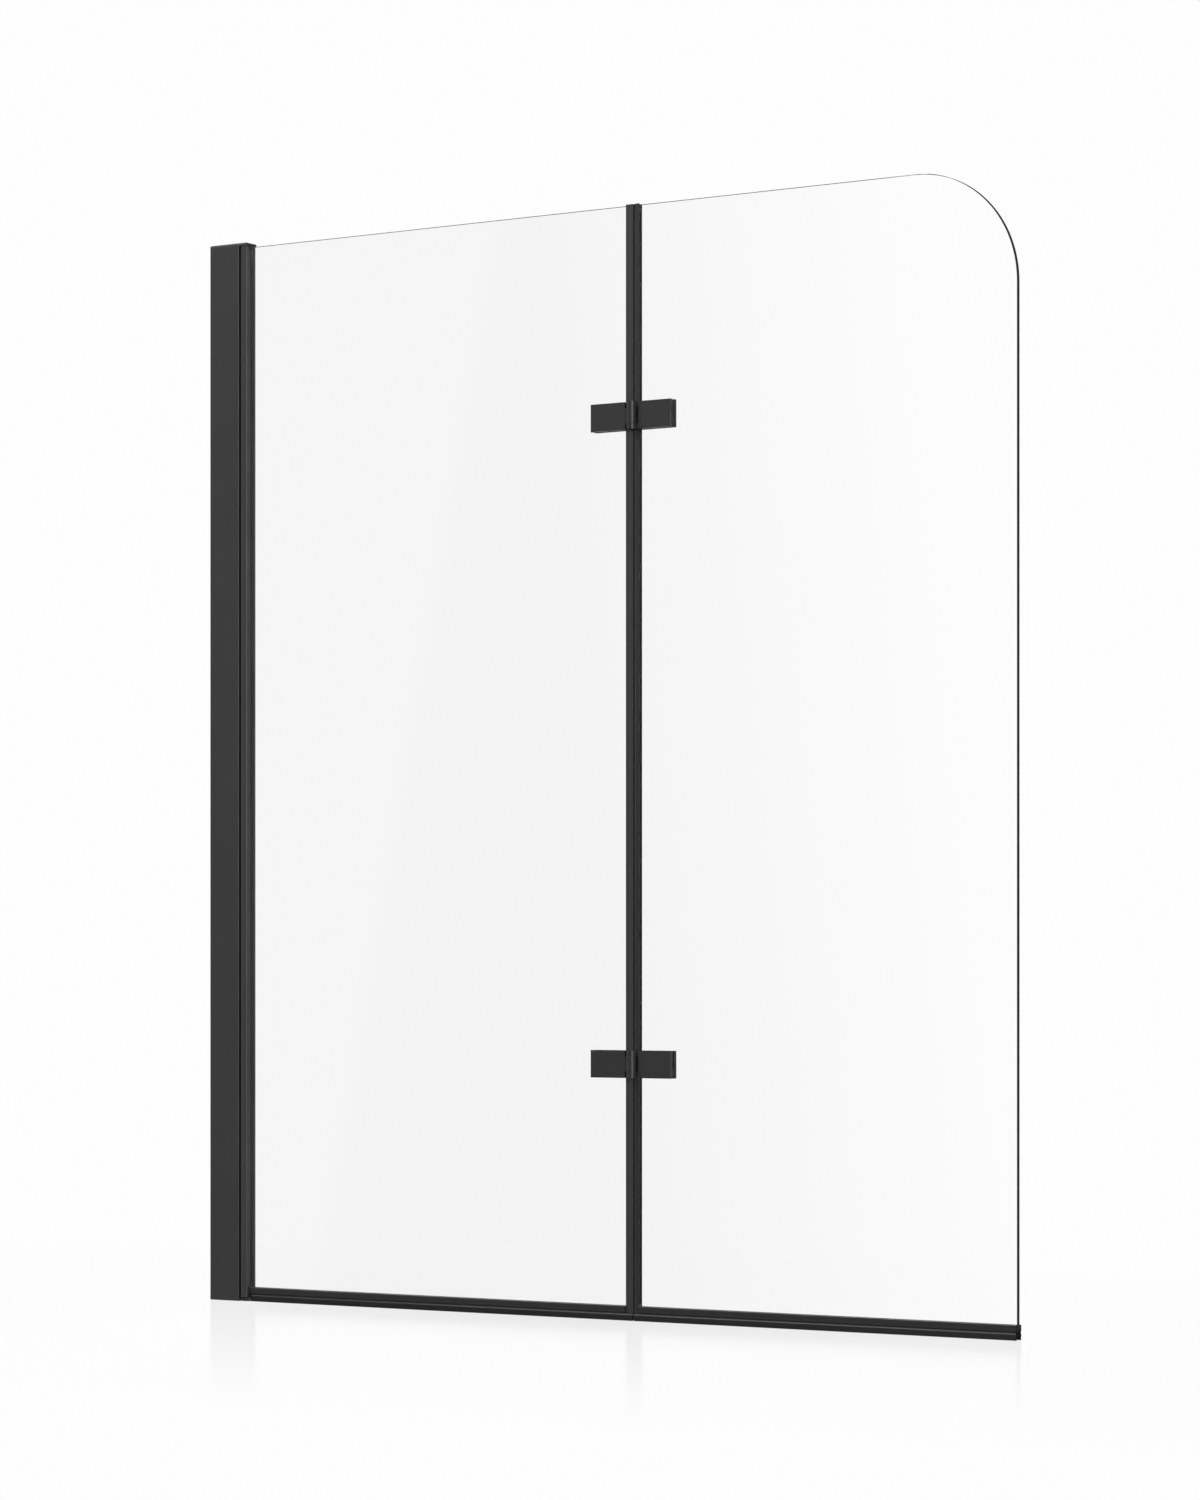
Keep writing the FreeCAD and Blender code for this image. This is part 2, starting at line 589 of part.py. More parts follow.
def bottom_cap():
    """Plate under the channel with a round tongue that carries the lower pivot pin."""
    corners = rectangle(("0", "-cover_half"), ("cover_face", "cover_half"))
    body = extrusion("bottom_cap_plate", "XY_Plane", corners, "0", "cap_thickness")
    round_edges(body, "cap_edge", dict(x=0, z=0))
    tongue = block(
        "bottom_cap_tongue",
        ("cover_face - cap_edge", "pivot_across"),
        ("-tongue_radius", "tongue_radius"),
        ("0", "cap_thickness"),
    )
    disc = rod("bottom_cap_disc", "z", ("0", "cap_thickness"), ("pivot_across", "0"), "tongue_radius")
    pin = rod(
        "bottom_cap_pin_hole",
        "z",
        ("-" + OVERSHOOT, "cap_thickness + " + OVERSHOOT),
        ("pivot_across", "0"),
        "pivot_pin_diameter / 2 + pin_fixed_clearance",
    )
    centre = ("cap_screw_place", "0")
    hole = countersunk_hole("bottom_cap_screw_hole", "z", "0", "+", centre, CAP_SCREW)
    solid = fuse("bottom_cap_solid", body, tongue, disc)
    keep(cut("bottom_pivot_cap", solid, pin, hole), "bottom_pivot_cap")
    keep(socket_screw("bottom_screw", "z", "0", "+", centre, CAP_SCREW), "bottom_cap_screw")


def upward(inward, outer_end, inner_end):
    """The two ends of something at the foot or the top of the post, lower one first."""
    return (outer_end, inner_end) if inward == "+" else (inner_end, outer_end)


def pivots():
    """Pins in the caps, thrust washers, and the blocks in the post that turn about the pins."""
    centre = ("pivot_across", "0")
    radius = "pivot_pin_diameter / 2"
    running = f"{radius} + pin_running_clearance"
    block_screws = []
    for end, cap_out, cap_in, post_end, inward in (
        ("bottom", "pin_end_recess", "cover_bottom", "post_bottom", "+"),
        ("top", "screen_height - pin_end_recess", "cover_top", "post_top", "-"),
    ):
        tip = f"{post_end} {inward} pivot_pin_reach"
        keep(rod(f"{end}_pin_rod", "z", upward(inward, cap_out, tip), centre, radius), f"{end}_pivot_pin")

        washer_far = f"{cap_in} {inward} thrust_washer_thickness"
        washer_ends = upward(inward, cap_in, washer_far)
        disc = rod(f"{end}_washer_disc", "z", washer_ends, centre, "thrust_washer_diameter / 2")
        hole = rod(f"{end}_washer_hole", "z", washer_ends, centre, running)
        keep(cut(f"{end}_washer", disc, hole), f"{end}_thrust_washer")

        far_end = f"{post_end} {inward} block_height"
        across = ("pocket_left + block_clearance", "block_right")
        deep = ("block_clearance - pocket_half", "pocket_half - block_clearance")
        solid = block(f"{end}_block_solid", across, deep, upward(inward, post_end, far_end))
        bore_ends = upward(inward, post_end, f"{tip} {inward} bore_end_gap")
        bore = rod(f"{end}_block_bore", "z", bore_ends, centre, running)
        level = f"{post_end} {inward} block_height / 2"
        screw_centre = ("pivot_across", level)
        tap = countersunk_hole(f"{end}_block_tap", "y", "post_half", "-", screw_centre, BLOCK_SCREW)
        keep(cut(f"{end}_block", solid, bore, tap), f"{end}_pivot_block")
        block_screws.append(
            socket_screw(f"{end}_block_screw", "y", "post_half", "-", screw_centre, BLOCK_SCREW)
        )
    keep(group("block_screw_group", *block_screws), "pivot_block_screws")


def pivot_post():
    """Extrusion with a round nose about the pivot axis and a pocket for the glass."""
    body = doc.addObject("PartDesign::Body", "post_extrusion")
    sketch = new_sketch(body, "post_section", "XY_Plane", "post_bottom")
    corners = [
        ("post_left", "-post_half"),
        ("post_right", "-post_half"),
        ("post_right", "-pocket_half"),
        ("pocket_left", "-pocket_half"),
        ("pocket_left", "pocket_half"),
        ("post_right", "pocket_half"),
        ("post_right", "post_half"),
        ("post_left", "post_half"),
    ]
    signed = [[signed_value(text) for text in corner] for corner in corners]
    points = [FreeCAD.Vector(across, deep, 0) for across, deep in signed]
    for first, last in zip(points, points[1:]):
        sketch.addGeometry(Part.LineSegment(first, last))
    tip = FreeCAD.Vector(value("nose_tip"), 0, 0)
    nose = sketch.addGeometry(Part.Arc(points[-1], tip, points[0]))
    lines = len(points) - 1
    for number in range(lines - 1):
        sketch.addConstraint(Sketcher.Constraint("Coincident", number, 2, number + 1, 1))
    sketch.addConstraint(Sketcher.Constraint("Coincident", lines - 1, 2, nose, 1))
    sketch.addConstraint(Sketcher.Constraint("Coincident", nose, 2, 0, 1))
    for number, corner in enumerate(corners[:-1]):
        locate(sketch, number, 1, corner, signed[number])
    locate(sketch, lines - 1, 2, corners[-1], signed[-1])
    index = sketch.addConstraint(Sketcher.Constraint("DistanceX", -1, 1, nose, 3, value("pivot_across")))
    bind(sketch, f"Constraints[{index}]", "pivot_across")
    pad(body, sketch, "post_top - post_bottom")
    half = value("post_half")
    round_edges(body, "post_corner", *[dict(x=value("post_right"), y=side) for side in (-half, half)])
    levels = ("post_bottom + block_height / 2", "post_top - block_height / 2")
    holes = [
        countersunk_hole(f"post_hole_{number}", "y", "post_half", "-", ("pivot_across", level), BLOCK_SCREW)
        for number, level in enumerate(levels)
    ]
    keep(cut("pivot_post", body, *holes), "pivot_post")


def glazing_gasket():
    """U gasket between the post's pocket and the inner glass."""
    corners = [
        ("post_right", "-pocket_half"),
        ("pocket_left", "-pocket_half"),
        ("pocket_left", "pocket_half"),
        ("post_right", "pocket_half"),
        ("post_right", "glass_half"),
        ("inner_glass_left", "glass_half"),
        ("inner_glass_left", "-glass_half"),
        ("post_right", "-glass_half"),
    ]
    length = "notch_high - notch_low"
    keep(extrusion("gasket_extrusion", "XY_Plane", corners, "notch_low", length), "glazing_gasket")


def clamp_places(side):
    """X of the two clamp screws of a leaf."""
    return [f"{side}_clamp_middle {sign} clamp_pitch / 2" for sign in "-+"]


def pane_holes(side):
    """Centres of a pane's hinge holes, as X and Z."""
    return [(across, f"{name}_hinge_level") for name in HINGES for across in clamp_places(side)]


def inner_glass():
    """Pane in the post, notched around the pivot blocks."""
    corners = [
        ("notch_right", "glass_bottom"),
        ("inner_glass_right", "glass_bottom"),
        ("inner_glass_right", "glass_top"),
        ("notch_right", "glass_top"),
        ("notch_right", "notch_high"),
        ("inner_glass_left", "notch_high"),
        ("inner_glass_left", "notch_low"),
        ("notch_right", "notch_low"),
    ]
    body = extrusion("inner_pane", "XZ_Plane", corners, "0", "glass_thickness", symmetric=True)
    pierce(body, "XZ_Plane", pane_holes("inner"), "glass_hole / 2")
    keep(body, "inner_glass")


def outer_glass():
    """Pane with the large round corner."""
    corners = rectangle(("outer_glass_left", "glass_bottom"), ("screen_width", "glass_top"))
    body = extrusion("outer_pane", "XZ_Plane", corners, "0", "glass_thickness", symmetric=True)
    round_edges(body, "free_corner_radius", dict(x=value("screen_width"), z=value("glass_top")))
    pierce(body, "XZ_Plane", pane_holes("outer"), "glass_hole / 2")
    keep(body, "outer_glass")


def edge_seal(side, lips, edge, face):
    """U strip on a vertical glass edge: X of its lips, of the glass edge and of its closed face."""
    corners = [
        (lips, "-seal_half"),
        (face, "-seal_half"),
        (face, "seal_half"),
        (lips, "seal_half"),
        (lips, "glass_half"),
        (edge, "glass_half"),
        (edge, "-glass_half"),
        (lips, "-glass_half"),
    ]
    body = extrusion(f"{side}_seal_strip", "XY_Plane", corners, "seal_bottom", "seal_top - seal_bottom")
    half = value("seal_half")
    return round_edges(body, "edge_seal_corner", *[dict(x=value(face), y=deep) for deep in (-half, half)])


def hinge_rows(level, half):
    """Heights from below to above a hinge's middle."""
    return (f"{level} - ({half})", f"{level} + ({half})")


def edge_seals():
    """Both strips, with their lips trimmed at the hinges and their faces cut back behind the barrels."""
    front = f"-seal_half - {OVERSHOOT}"
    back = f"seal_half + {OVERSHOOT}"
    inner_lips = (f"inner_seal_left - {OVERSHOOT}", "inner_glass_right")
    outer_lips = ("outer_glass_left", f"outer_seal_right + {OVERSHOOT}")
    inner_face = ("inner_glass_right", f"inner_seal_right + {OVERSHOOT}")
    outer_face = (f"outer_seal_left - {OVERSHOOT}", "outer_glass_left")
    strips = {
        "inner": edge_seal("inner", "inner_seal_left", "inner_glass_right", "inner_seal_right"),
        "outer": edge_seal("outer", "outer_seal_right", "outer_glass_left", "outer_seal_left"),
    }
    for side, lips, face in (("inner", inner_lips, inner_face), ("outer", outer_lips, outer_face)):
        cuts = []
        for name in HINGES:
            lip_rows = hinge_rows(f"{name}_hinge_level", "hinge_height / 2 + lip_trim_clearance")
            face_rows = hinge_rows(f"{name}_hinge_level", "hinge_height / 2 + seal_notch_clearance")
            cuts.append(block(f"{side}_seal_lips_{name}", lips, (front, back), lip_rows))
            cuts.append(block(f"{side}_seal_face_{name}", face, (front, "-notch_back"), face_rows))
        keep(cut(f"{side}_seal_notched", strips[side], *cuts), f"{side}_edge_seal")


def bottom_seal(side, rail_ends, wiper_ends):
    """Rail on the lower glass edge, its liner, and the two-lipped wiper below."""
    rail_left, rail_right = rail_ends
    rail_corners = [
        ("-rail_half", "rail_bottom"),
        ("rail_half", "rail_bottom"),
        ("rail_half", "rail_top"),
        ("rail_inner_half", "rail_top"),
        ("rail_inner_half", "glass_bottom"),
        ("-rail_inner_half", "glass_bottom"),
        ("-rail_inner_half", "rail_top"),
        ("-rail_half", "rail_top"),
    ]
    length = f"({rail_right}) - ({rail_left})"
    rail = extrusion(f"{side}_rail_strip", "YZ_Plane", rail_corners, rail_left, length)
    half = value("rail_half")
    rounded = [
        dict(y=deep, z=level) for deep in (-half, half) for level in (value("rail_bottom"), value("rail_top"))
    ]
    keep(round_edges(rail, "rail_corner", *rounded), f"{side}_bottom_rail")
    spans = {"front": ("-rail_inner_half", "-glass_half"), "back": ("glass_half", "rail_inner_half")}
    liners = [
        block(f"{side}_liner_{deep}", (rail_left, rail_right), span, ("glass_bottom", "rail_top"))
        for deep, span in spans.items()
    ]
    keep(group(f"{side}_liner_pair", *liners), f"{side}_rail_liners")
    waist, foot = "wiper_waist / 2", "wiper_foot / 2"
    toe_inside = "(wiper_foot / 2 - wiper_lip)"
    wiper_corners = [
        (f"-{waist}", "wiper_height"),
        (f"-{waist}", "wiper_height - wiper_neck_height"),
        (f"-{foot}", "wiper_shoulder_height"),
        (f"-{foot}", "0"),
        (f"-{toe_inside}", "0"),
        ("0", "wiper_hollow_height"),
        (toe_inside, "0"),
        (foot, "0"),
        (foot, "wiper_shoulder_height"),
        (waist, "wiper_height - wiper_neck_height"),
        (waist, "wiper_height"),
    ]
    wiper_left, wiper_right = wiper_ends
    wiper_length = f"({wiper_right}) - ({wiper_left})"
    wiper = extrusion(f"{side}_wiper_strip", "YZ_Plane", wiper_corners, wiper_left, wiper_length)
    keep(wiper, f"{side}_wiper")


def plate(name, ends, level, front):
    """A hinge plate in front of the glass or behind it, with rounded outer edges."""
    rows = hinge_rows(level, "hinge_height / 2")
    offset = "plate_back" if front else "-plate_front"
    corners = rectangle((ends[0], rows[0]), (ends[1], rows[1]))
    body = extrusion(name, "XZ_Plane", corners, offset, "leaf_thickness")
    face = value("plate_front") * (-1 if front else 1)
    return round_edges(body, "leaf_corner", *[dict(x=value(end), y=face) for end in ends])


def clamp(side, name, level):
    """What holds a front leaf to its pane: back plate, gaskets, sleeves and screws."""
    left, right = LEAF_ENDS[side]
    tag = f"{name}_{side}"
    plate_holes = []
    sleeves = []
    screws = []
    for number, across in enumerate(clamp_places(side)):
        centre = (across, level)
        plate_holes.append(
            countersunk_hole(f"{tag}_plate_hole_{number}", "y", "plate_front", "-", centre, CLAMP_SCREW)
        )
        span = ("-glass_half", "glass_half")
        wall = rod(f"{tag}_sleeve_wall_{number}", "y", span, centre, "glass_hole / 2 - sleeve_clearance")
        bore = rod(f"{tag}_sleeve_bore_{number}", "y", span, centre, "spigot_diameter / 2 + sleeve_clearance")
        sleeves.append(cut(f"{tag}_sleeve_{number}", wall, bore))
        screws.append(
            socket_screw(f"{tag}_screw_{number}", "y", "plate_front", "-", centre, CLAMP_SCREW)
        )
    back = plate(f"{tag}_back_body", (left, right), level, front=False)
    keep(cut(f"{tag}_back_plate_drilled", back, *plate_holes), f"{tag}_back_plate")
    keep(group(f"{tag}_sleeve_pair", *sleeves), f"{tag}_sleeves")
    keep(group(f"{tag}_screw_pair", *screws), f"{tag}_clamp_screws")
    gaskets = []
    plate_ends = (f"{left} + gasket_inset", f"{right} - gasket_inset")
    if side == "inner":
        glass_ends = (plate_ends[0], "inner_gasket_right")
    else:
        glass_ends = ("outer_gasket_left", plate_ends[1])
    for deep, ends, low, high in (
        ("front", glass_ends, "-plate_back", "-glass_half"),
        ("back", plate_ends, "glass_half", "plate_back"),
    ):
        sheet = block(
            f"{tag}_gasket_sheet_{deep}",
            ends,
            (low, high),
            hinge_rows(level, "hinge_height / 2 - gasket_inset"),
        )
        holes = [
            rod(
                f"{tag}_gasket_hole_{deep}_{number}",
                "y",
                (low, high),
                (across, level),
                "spigot_diameter / 2 + sleeve_clearance",
            )
            for number, across in enumerate(clamp_places(side))
        ]
        gaskets.append(cut(f"{tag}_gasket_{deep}", sheet, *holes))
    keep(group(f"{tag}_gasket_pair", *gaskets), f"{tag}_gaskets")


def leaf(side, name, level, knuckle_rows, pin_clearance):
    """Front leaf: plate, spigots through the glass, and knuckles on necks at the given rows."""
    left, right = LEAF_ENDS[side]
    tag = f"{name}_{side}"
    axis = ("fold_from_wall", "-fold_offset")
    solids = [plate(f"{tag}_leaf_plate", (left, right), level, front=True)]
    bores = []
    root = f"{right} - leaf_corner" if side == "inner" else f"{left} + leaf_corner"
    across = (root, "fold_from_wall") if side == "inner" else ("fold_from_wall", root)
    for number, rows in enumerate(knuckle_rows):
        solids.append(block(f"{tag}_neck_{number}", across, ("-plate_front", "-plate_back"), rows))
        solids.append(rod(f"{tag}_knuckle_{number}", "z", rows, axis, "knuckle_radius"))
        bores.append(
            rod(f"{tag}_knuckle_bore_{number}", "z", rows, axis, f"hinge_pin_diameter / 2 + {pin_clearance}")
        )
    for number, place_across in enumerate(clamp_places(side)):
        centre = (place_across, level)
        solids.append(
            rod(f"{tag}_spigot_{number}", "y", ("-plate_back", "spigot_end"), centre, "spigot_diameter / 2")
        )
        thread = ("thread_floor - plate_front", "spigot_end")
        bores.append(rod(f"{tag}_thread_{number}", "y", thread, centre, "thread_bore"))
    keep(cut(f"{tag}_leaf_bored", fuse(f"{tag}_leaf_solid", *solids), *bores), f"{tag}_leaf")


def hinge(name):
    """One glass-to-glass hinge that folds the outer panel to the front."""
    level = f"{name}_hinge_level"
    axis = ("fold_from_wall", "-fold_offset")
    lower_ear = (f"{level} - hinge_height / 2", f"{level} - ear_inset")
    upper_ear = (f"{level} + ear_inset", f"{level} + hinge_height / 2")
    leaf("inner", name, level, [hinge_rows(level, "knuckle_half")], "pin_running_clearance")
    leaf("outer", name, level, [lower_ear, upper_ear], "pin_fixed_clearance")
    for side in LEAF_ENDS:
        clamp(side, name, level)
    pin = rod(f"{name}_pin_rod", "z", hinge_rows(level, "hinge_height / 2"), axis, "hinge_pin_diameter / 2")
    keep(pin, f"{name}_hinge_pin")
    washers = []
    washer_far = "ear_inset - hinge_play"
    washer_near = "knuckle_half + hinge_play"
    for place_name, rows in (
        ("low", (f"{level} - ({washer_far})", f"{level} - ({washer_near})")),
        ("high", (f"{level} + {washer_near}", f"{level} + {washer_far}")),
    ):
        disc = rod(f"{name}_washer_disc_{place_name}", "z", rows, axis, "knuckle_radius")
        hole = rod(
            f"{name}_washer_hole_{place_name}",
            "z",
            rows,
            axis,
            "hinge_pin_diameter / 2 + pin_running_clearance",
        )
        washers.append(cut(f"{name}_washer_{place_name}", disc, hole))
    keep(group(f"{name}_washer_pair", *washers), f"{name}_hinge_washers")


def export():
    """Checks every object and writes each piece to its own file."""
    doc.recompute()
    failed = [obj.Label for obj in doc.Objects if {"Invalid", "Error"} & set(obj.State)]
    if failed:
        raise RuntimeError(f"objects that failed: {failed}")
    for piece in pieces:
        if piece.Shape.isNull() or not piece.Shape.isValid() or not piece.Shape.Solids:
            raise RuntimeError(f"{piece.Label} has no valid solid")
    os.makedirs("parts", exist_ok=True)
    for piece in pieces:
        piece.Shape.exportStep(f"parts/{piece.Label}.step")
    print(f"{len(pieces)} pieces, {sum(len(piece.Shape.Solids) for piece in pieces)} solids")


def main():
    wall_profile()
    cover_channel()
    nose_seal()
    fixings()
    top_cap()
    bottom_cap()
    pivots()
    pivot_post()
    glazing_gasket()
    inner_glass()
    outer_glass()
    edge_seals()
    bottom_seal("inner", ("inner_rail_left", "inner_rail_right"), ("inner_wiper_left", "inner_seal_right"))
    bottom_seal("outer", ("outer_rail_left", "screen_width"), ("outer_seal_left", "screen_width"))
    for name in HINGES:
        hinge(name)
    export()


main()
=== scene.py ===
import json
import math

import bmesh
import bpy
from mathutils import Matrix, Vector


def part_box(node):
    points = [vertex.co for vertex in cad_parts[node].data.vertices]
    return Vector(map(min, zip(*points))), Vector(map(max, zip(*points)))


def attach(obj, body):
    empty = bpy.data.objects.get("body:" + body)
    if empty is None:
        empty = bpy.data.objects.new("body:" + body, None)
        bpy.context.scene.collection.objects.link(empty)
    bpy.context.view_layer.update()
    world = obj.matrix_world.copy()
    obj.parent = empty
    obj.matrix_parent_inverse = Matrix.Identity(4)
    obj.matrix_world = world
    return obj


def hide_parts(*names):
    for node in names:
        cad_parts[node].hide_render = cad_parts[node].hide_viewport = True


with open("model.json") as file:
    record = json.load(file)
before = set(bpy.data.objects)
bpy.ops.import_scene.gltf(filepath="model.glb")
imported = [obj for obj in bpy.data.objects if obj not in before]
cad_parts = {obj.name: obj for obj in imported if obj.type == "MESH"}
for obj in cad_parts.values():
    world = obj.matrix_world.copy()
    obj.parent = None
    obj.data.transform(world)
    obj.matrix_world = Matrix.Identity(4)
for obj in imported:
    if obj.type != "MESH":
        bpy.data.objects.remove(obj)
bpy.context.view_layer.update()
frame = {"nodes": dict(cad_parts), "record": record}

bl_info = {
    "name": "Folding bath screen",
    "version": (1, 0, 0),
    "blender": (4, 5, 0),
    "location": "3D View > Sidebar > Bath screen",
    "description": "Glass, seals, fittings and studio for a folding bath screen",
    "category": "Object",
}

ROWS = ("upper", "lower")
SIDES = ("inner", "outer")
ALONG, UPRIGHT = 0, 2
GLASS_GAP = 0.00005
SAME_PLACE = 1e-6
CRISP_ANGLE = math.radians(35)

# Places of the finishes on a pane: its clear sides come first, then the edges in a dark colour of
# painted shade, then the bedded edges.
EDGE_SHADE_FINISH, BEDDING_FINISH = 1, 2
# A face of a pane that turns this far to the front or the back is one of its clear sides.
CLEAR_SIDE = 0.9
# An edge that faces up this many times more than sideways stays clear, and is only a faint line.
# The other edges get the painted shade.
CLEAR_SLOPE = 8.0

# Nearly all of a noise pattern lies between these two values.
NOISE_LOW, NOISE_HIGH = 0.3, 0.7

# Strength of the world: to the eye, as light on the screen, and in mirror images.
WHITE = 0.985
AMBIENT = 0.35
DIM = 0.05
# Each soft panel's edge, as two directions in which the panes mirror it.
PANEL_EDGE = ((-0.740, -1.0, -0.090), (-0.680, -1.0, 0.198))
FRONT_EDGE = ((-0.649, -1.0, 0.204), (-0.606, -1.0, -0.095))
BEHIND = (-0.54, 0.84, 0.0)
WALL_SIDE = (-1.0, 0.0, 0.0)

SCREEN_MIDDLE = (0.6, 0.0, 0.7)
FLOOR_HALF = 30.0
POLISH_REACH = (3.0, 1.2)
POLISH_FADE = 1.3
POLISH_SHARE = 0.25
FACET_TILT = 0.025
# Azimuth and height in degrees, share of the light, width and height in metres.
SOFTBOXES = {
    "left_softbox": (-48, 45, 0.55, (4.0, 4.0)),
    "right_softbox": (48, 8, 0.58, (3.2, 5.6)),
    "back_softbox": (195, 56, 0.6, (4.0, 4.0)),
}
SOFTBOX_DISTANCE = 9.0
# The floor would show these two as bright rectangles.
OFF_FLOOR = ("right_softbox", "back_softbox")

CAMERA_PLACE = (3.640, -4.683, 0.446)
CAMERA_TURN = math.radians(32.908)
CAMERA_LENS = 106.53
CAMERA_SENSOR = 36.0
CAMERA_SHIFT = 0.1426
CAMERA_REACH = 200.0


def linear(code):
    """An sRGB hex colour as linear red, green and blue."""
    parts = [int(code[at:at + 2], 16) / 255 for at in (1, 3, 5)]
    return [
        part / 12.92 if part <= 0.04045 else ((part + 0.055) / 1.055) ** 2.4 for part in parts
    ]


class ScreenSizes(bpy.types.PropertyGroup):
    """Sizes of the dressed pieces that the frame doesn't hold."""

    free_corner: bpy.props.FloatProperty(
        name="Free corner",
        description="Radius of the outer pane's round top corner",
        default=0.14,
        unit="LENGTH",
    )
    arris: bpy.props.FloatProperty(
        name="Arris",
        description="Ground edge round each pane and each of its holes",
        default=0.0006,
        unit="LENGTH",
    )
    hole_clearance: bpy.props.FloatProperty(
        name="Hole clearance",
        description="Glass hole around its sleeve, on radius",
        default=0.0001,
        unit="LENGTH",
    )
    block_clearance: bpy.props.FloatVectorProperty(
        name="Notch clearance",
        description="Glass notch beside and above a pivot block",
        default=(0.0003, 0.001),
        size=2,
        unit="LENGTH",
    )
    seal_round: bpy.props.FloatProperty(
        name="Seal rounding",
        description="Rounded faces of the upright edge seals",
        default=0.001,
        unit="LENGTH",
    )
    seal_groove: bpy.props.FloatProperty(
        name="Seal groove",
        description="Depth and half width of the groove beside the glass edge",
        default=0.0004,
        unit="LENGTH",
    )
    closing_lip: bpy.props.FloatVectorProperty(
        name="Closing lip",
        description="Half thickness of the inner seal's soft lip and its gap to the outer seal",
        default=(0.0004, 0.0003),
        size=2,
        unit="LENGTH",
    )
    hinge_cut: bpy.props.FloatProperty(
        name="Hinge cut",
        description="Start of the seals at the hinges, behind the front of the glass",
        default=0.0005,
        unit="LENGTH",
    )
    lip_trim: bpy.props.FloatProperty(
        name="Lip trim",
        description="Seal lips to the hinge leaves",
        default=0.0001,
        unit="LENGTH",
    )
    wiper_waist: bpy.props.FloatProperty(
        name="Wiper waist",
        description="Half depth of a wiper under its rail",
        default=0.0056,
        unit="LENGTH",
    )
    wiper_shoulder: bpy.props.FloatProperty(
        name="Wiper shoulder",
        description="Height of the shoulder where a wiper's lip turns down",
        default=0.0068,
        unit="LENGTH",
    )
    wiper_round: bpy.props.FloatProperty(
        name="Wiper rounding",
        description="Rounding of a wiper's shoulders",
        default=0.0009,
        unit="LENGTH",
    )
    wiper_lip: bpy.props.FloatProperty(
        name="Wiper lip",
        description="Thickness of a wiper's lip on the rim",
        default=0.0016,
        unit="LENGTH",
    )


class ScreenColours(bpy.types.PropertyGroup):
    """Colours of the finishes."""

    powder_coat: bpy.props.FloatVectorProperty(
        name="Powder coat",
        description="Channel and post",
        default=linear("#363636"),
        subtype="COLOR",
    )
    hinge_coat: bpy.props.FloatVectorProperty(
        name="Hinge coat",
        description="Hinge leaves and back plates",
        default=linear("#2c2c2c"),
        subtype="COLOR",
    )
    moulding: bpy.props.FloatVectorProperty(
        name="Moulded nylon",
        description="Caps, pivot blocks and screw covers",
        default=linear("#363636"),
        subtype="COLOR",
    )
    rail: bpy.props.FloatVectorProperty(
        name="Rail PVC",
        description="Bottom rails",
        default=linear("#252525"),
        subtype="COLOR",
    )
    rubber: bpy.props.FloatVectorProperty(
        name="Seal rubber",
        description="Inner edge seal, gaskets and liners",
        default=linear("#303030"),
        subtype="COLOR",
    )
    # Painted shade: the outer seal is the same rubber as the inner one, drawn darker.
    shaded_seal_rubber: bpy.props.FloatVectorProperty(
        name="Shaded seal rubber",
        description="Outer edge seal",
        default=linear("#232323"),
        subtype="COLOR",
    )
    wiper_rubber: bpy.props.FloatVectorProperty(
        name="Wiper rubber",
        description="Wipers on the rim",
        default=linear("#1b1b1b"),
        subtype="COLOR",
    )
    glass: bpy.props.FloatVectorProperty(
        name="Glass",
        description="What 6 mm of the panes' glass lets through",
        default=linear("#fefefe"),
        subtype="COLOR",
    )
    # Painted shade: the panes' edges are clear glass, and this dark colour stands in for the
    # darkness seen looking into a pane along its length.
    painted_edge_shade: bpy.props.FloatVectorProperty(
        name="Painted edge shade",
        description="Polished edges and arrises of the panes, seen along the glass",
        default=linear("#343837"),
        subtype="COLOR",
    )
    aluminium: bpy.props.FloatVectorProperty(
        name="Plain aluminium",
        description="Wall profile",
        default=linear("#cfd0d1"),
        subtype="COLOR",
    )
    steel: bpy.props.FloatVectorProperty(
        name="Stainless steel",
        description="Screws and pins",
        default=linear("#bcbdbf"),
        subtype="COLOR",
    )
    nylon: bpy.props.FloatVectorProperty(
        name="Natural nylon",
        description="Sleeves in the glass holes",
        default=linear("#e4e1d6"),
        subtype="COLOR",
    )


def connect(tree, node, inputs):
    """Sets a node's sockets, by name or identifier, to values or to other nodes' outputs."""
    for name, source in inputs.items():
        socket = next(item for item in node.inputs if name in (item.identifier, item.name))
        if isinstance(source, bpy.types.NodeSocket):
            tree.links.new(source, socket)
        else:
            socket.default_value = source
    return node


def add_node(tree, kind, inputs=None, **settings):
    """Adds a node with its settings and links."""
    node = tree.nodes.new(kind)
    for name, setting in settings.items():
        setattr(node, name, setting)
    return connect(tree, node, inputs or {})


def new_finish(name):
    """An empty finish: the material, its tree and its shader."""
    material = bpy.data.materials.new(name)
    material.use_nodes = True
    return material, material.node_tree, material.node_tree.nodes["Principled BSDF"]


def shade(colour, factor):
    """A lighter or darker colour for a socket."""
    return [part * factor for part in colour] + [1.0]


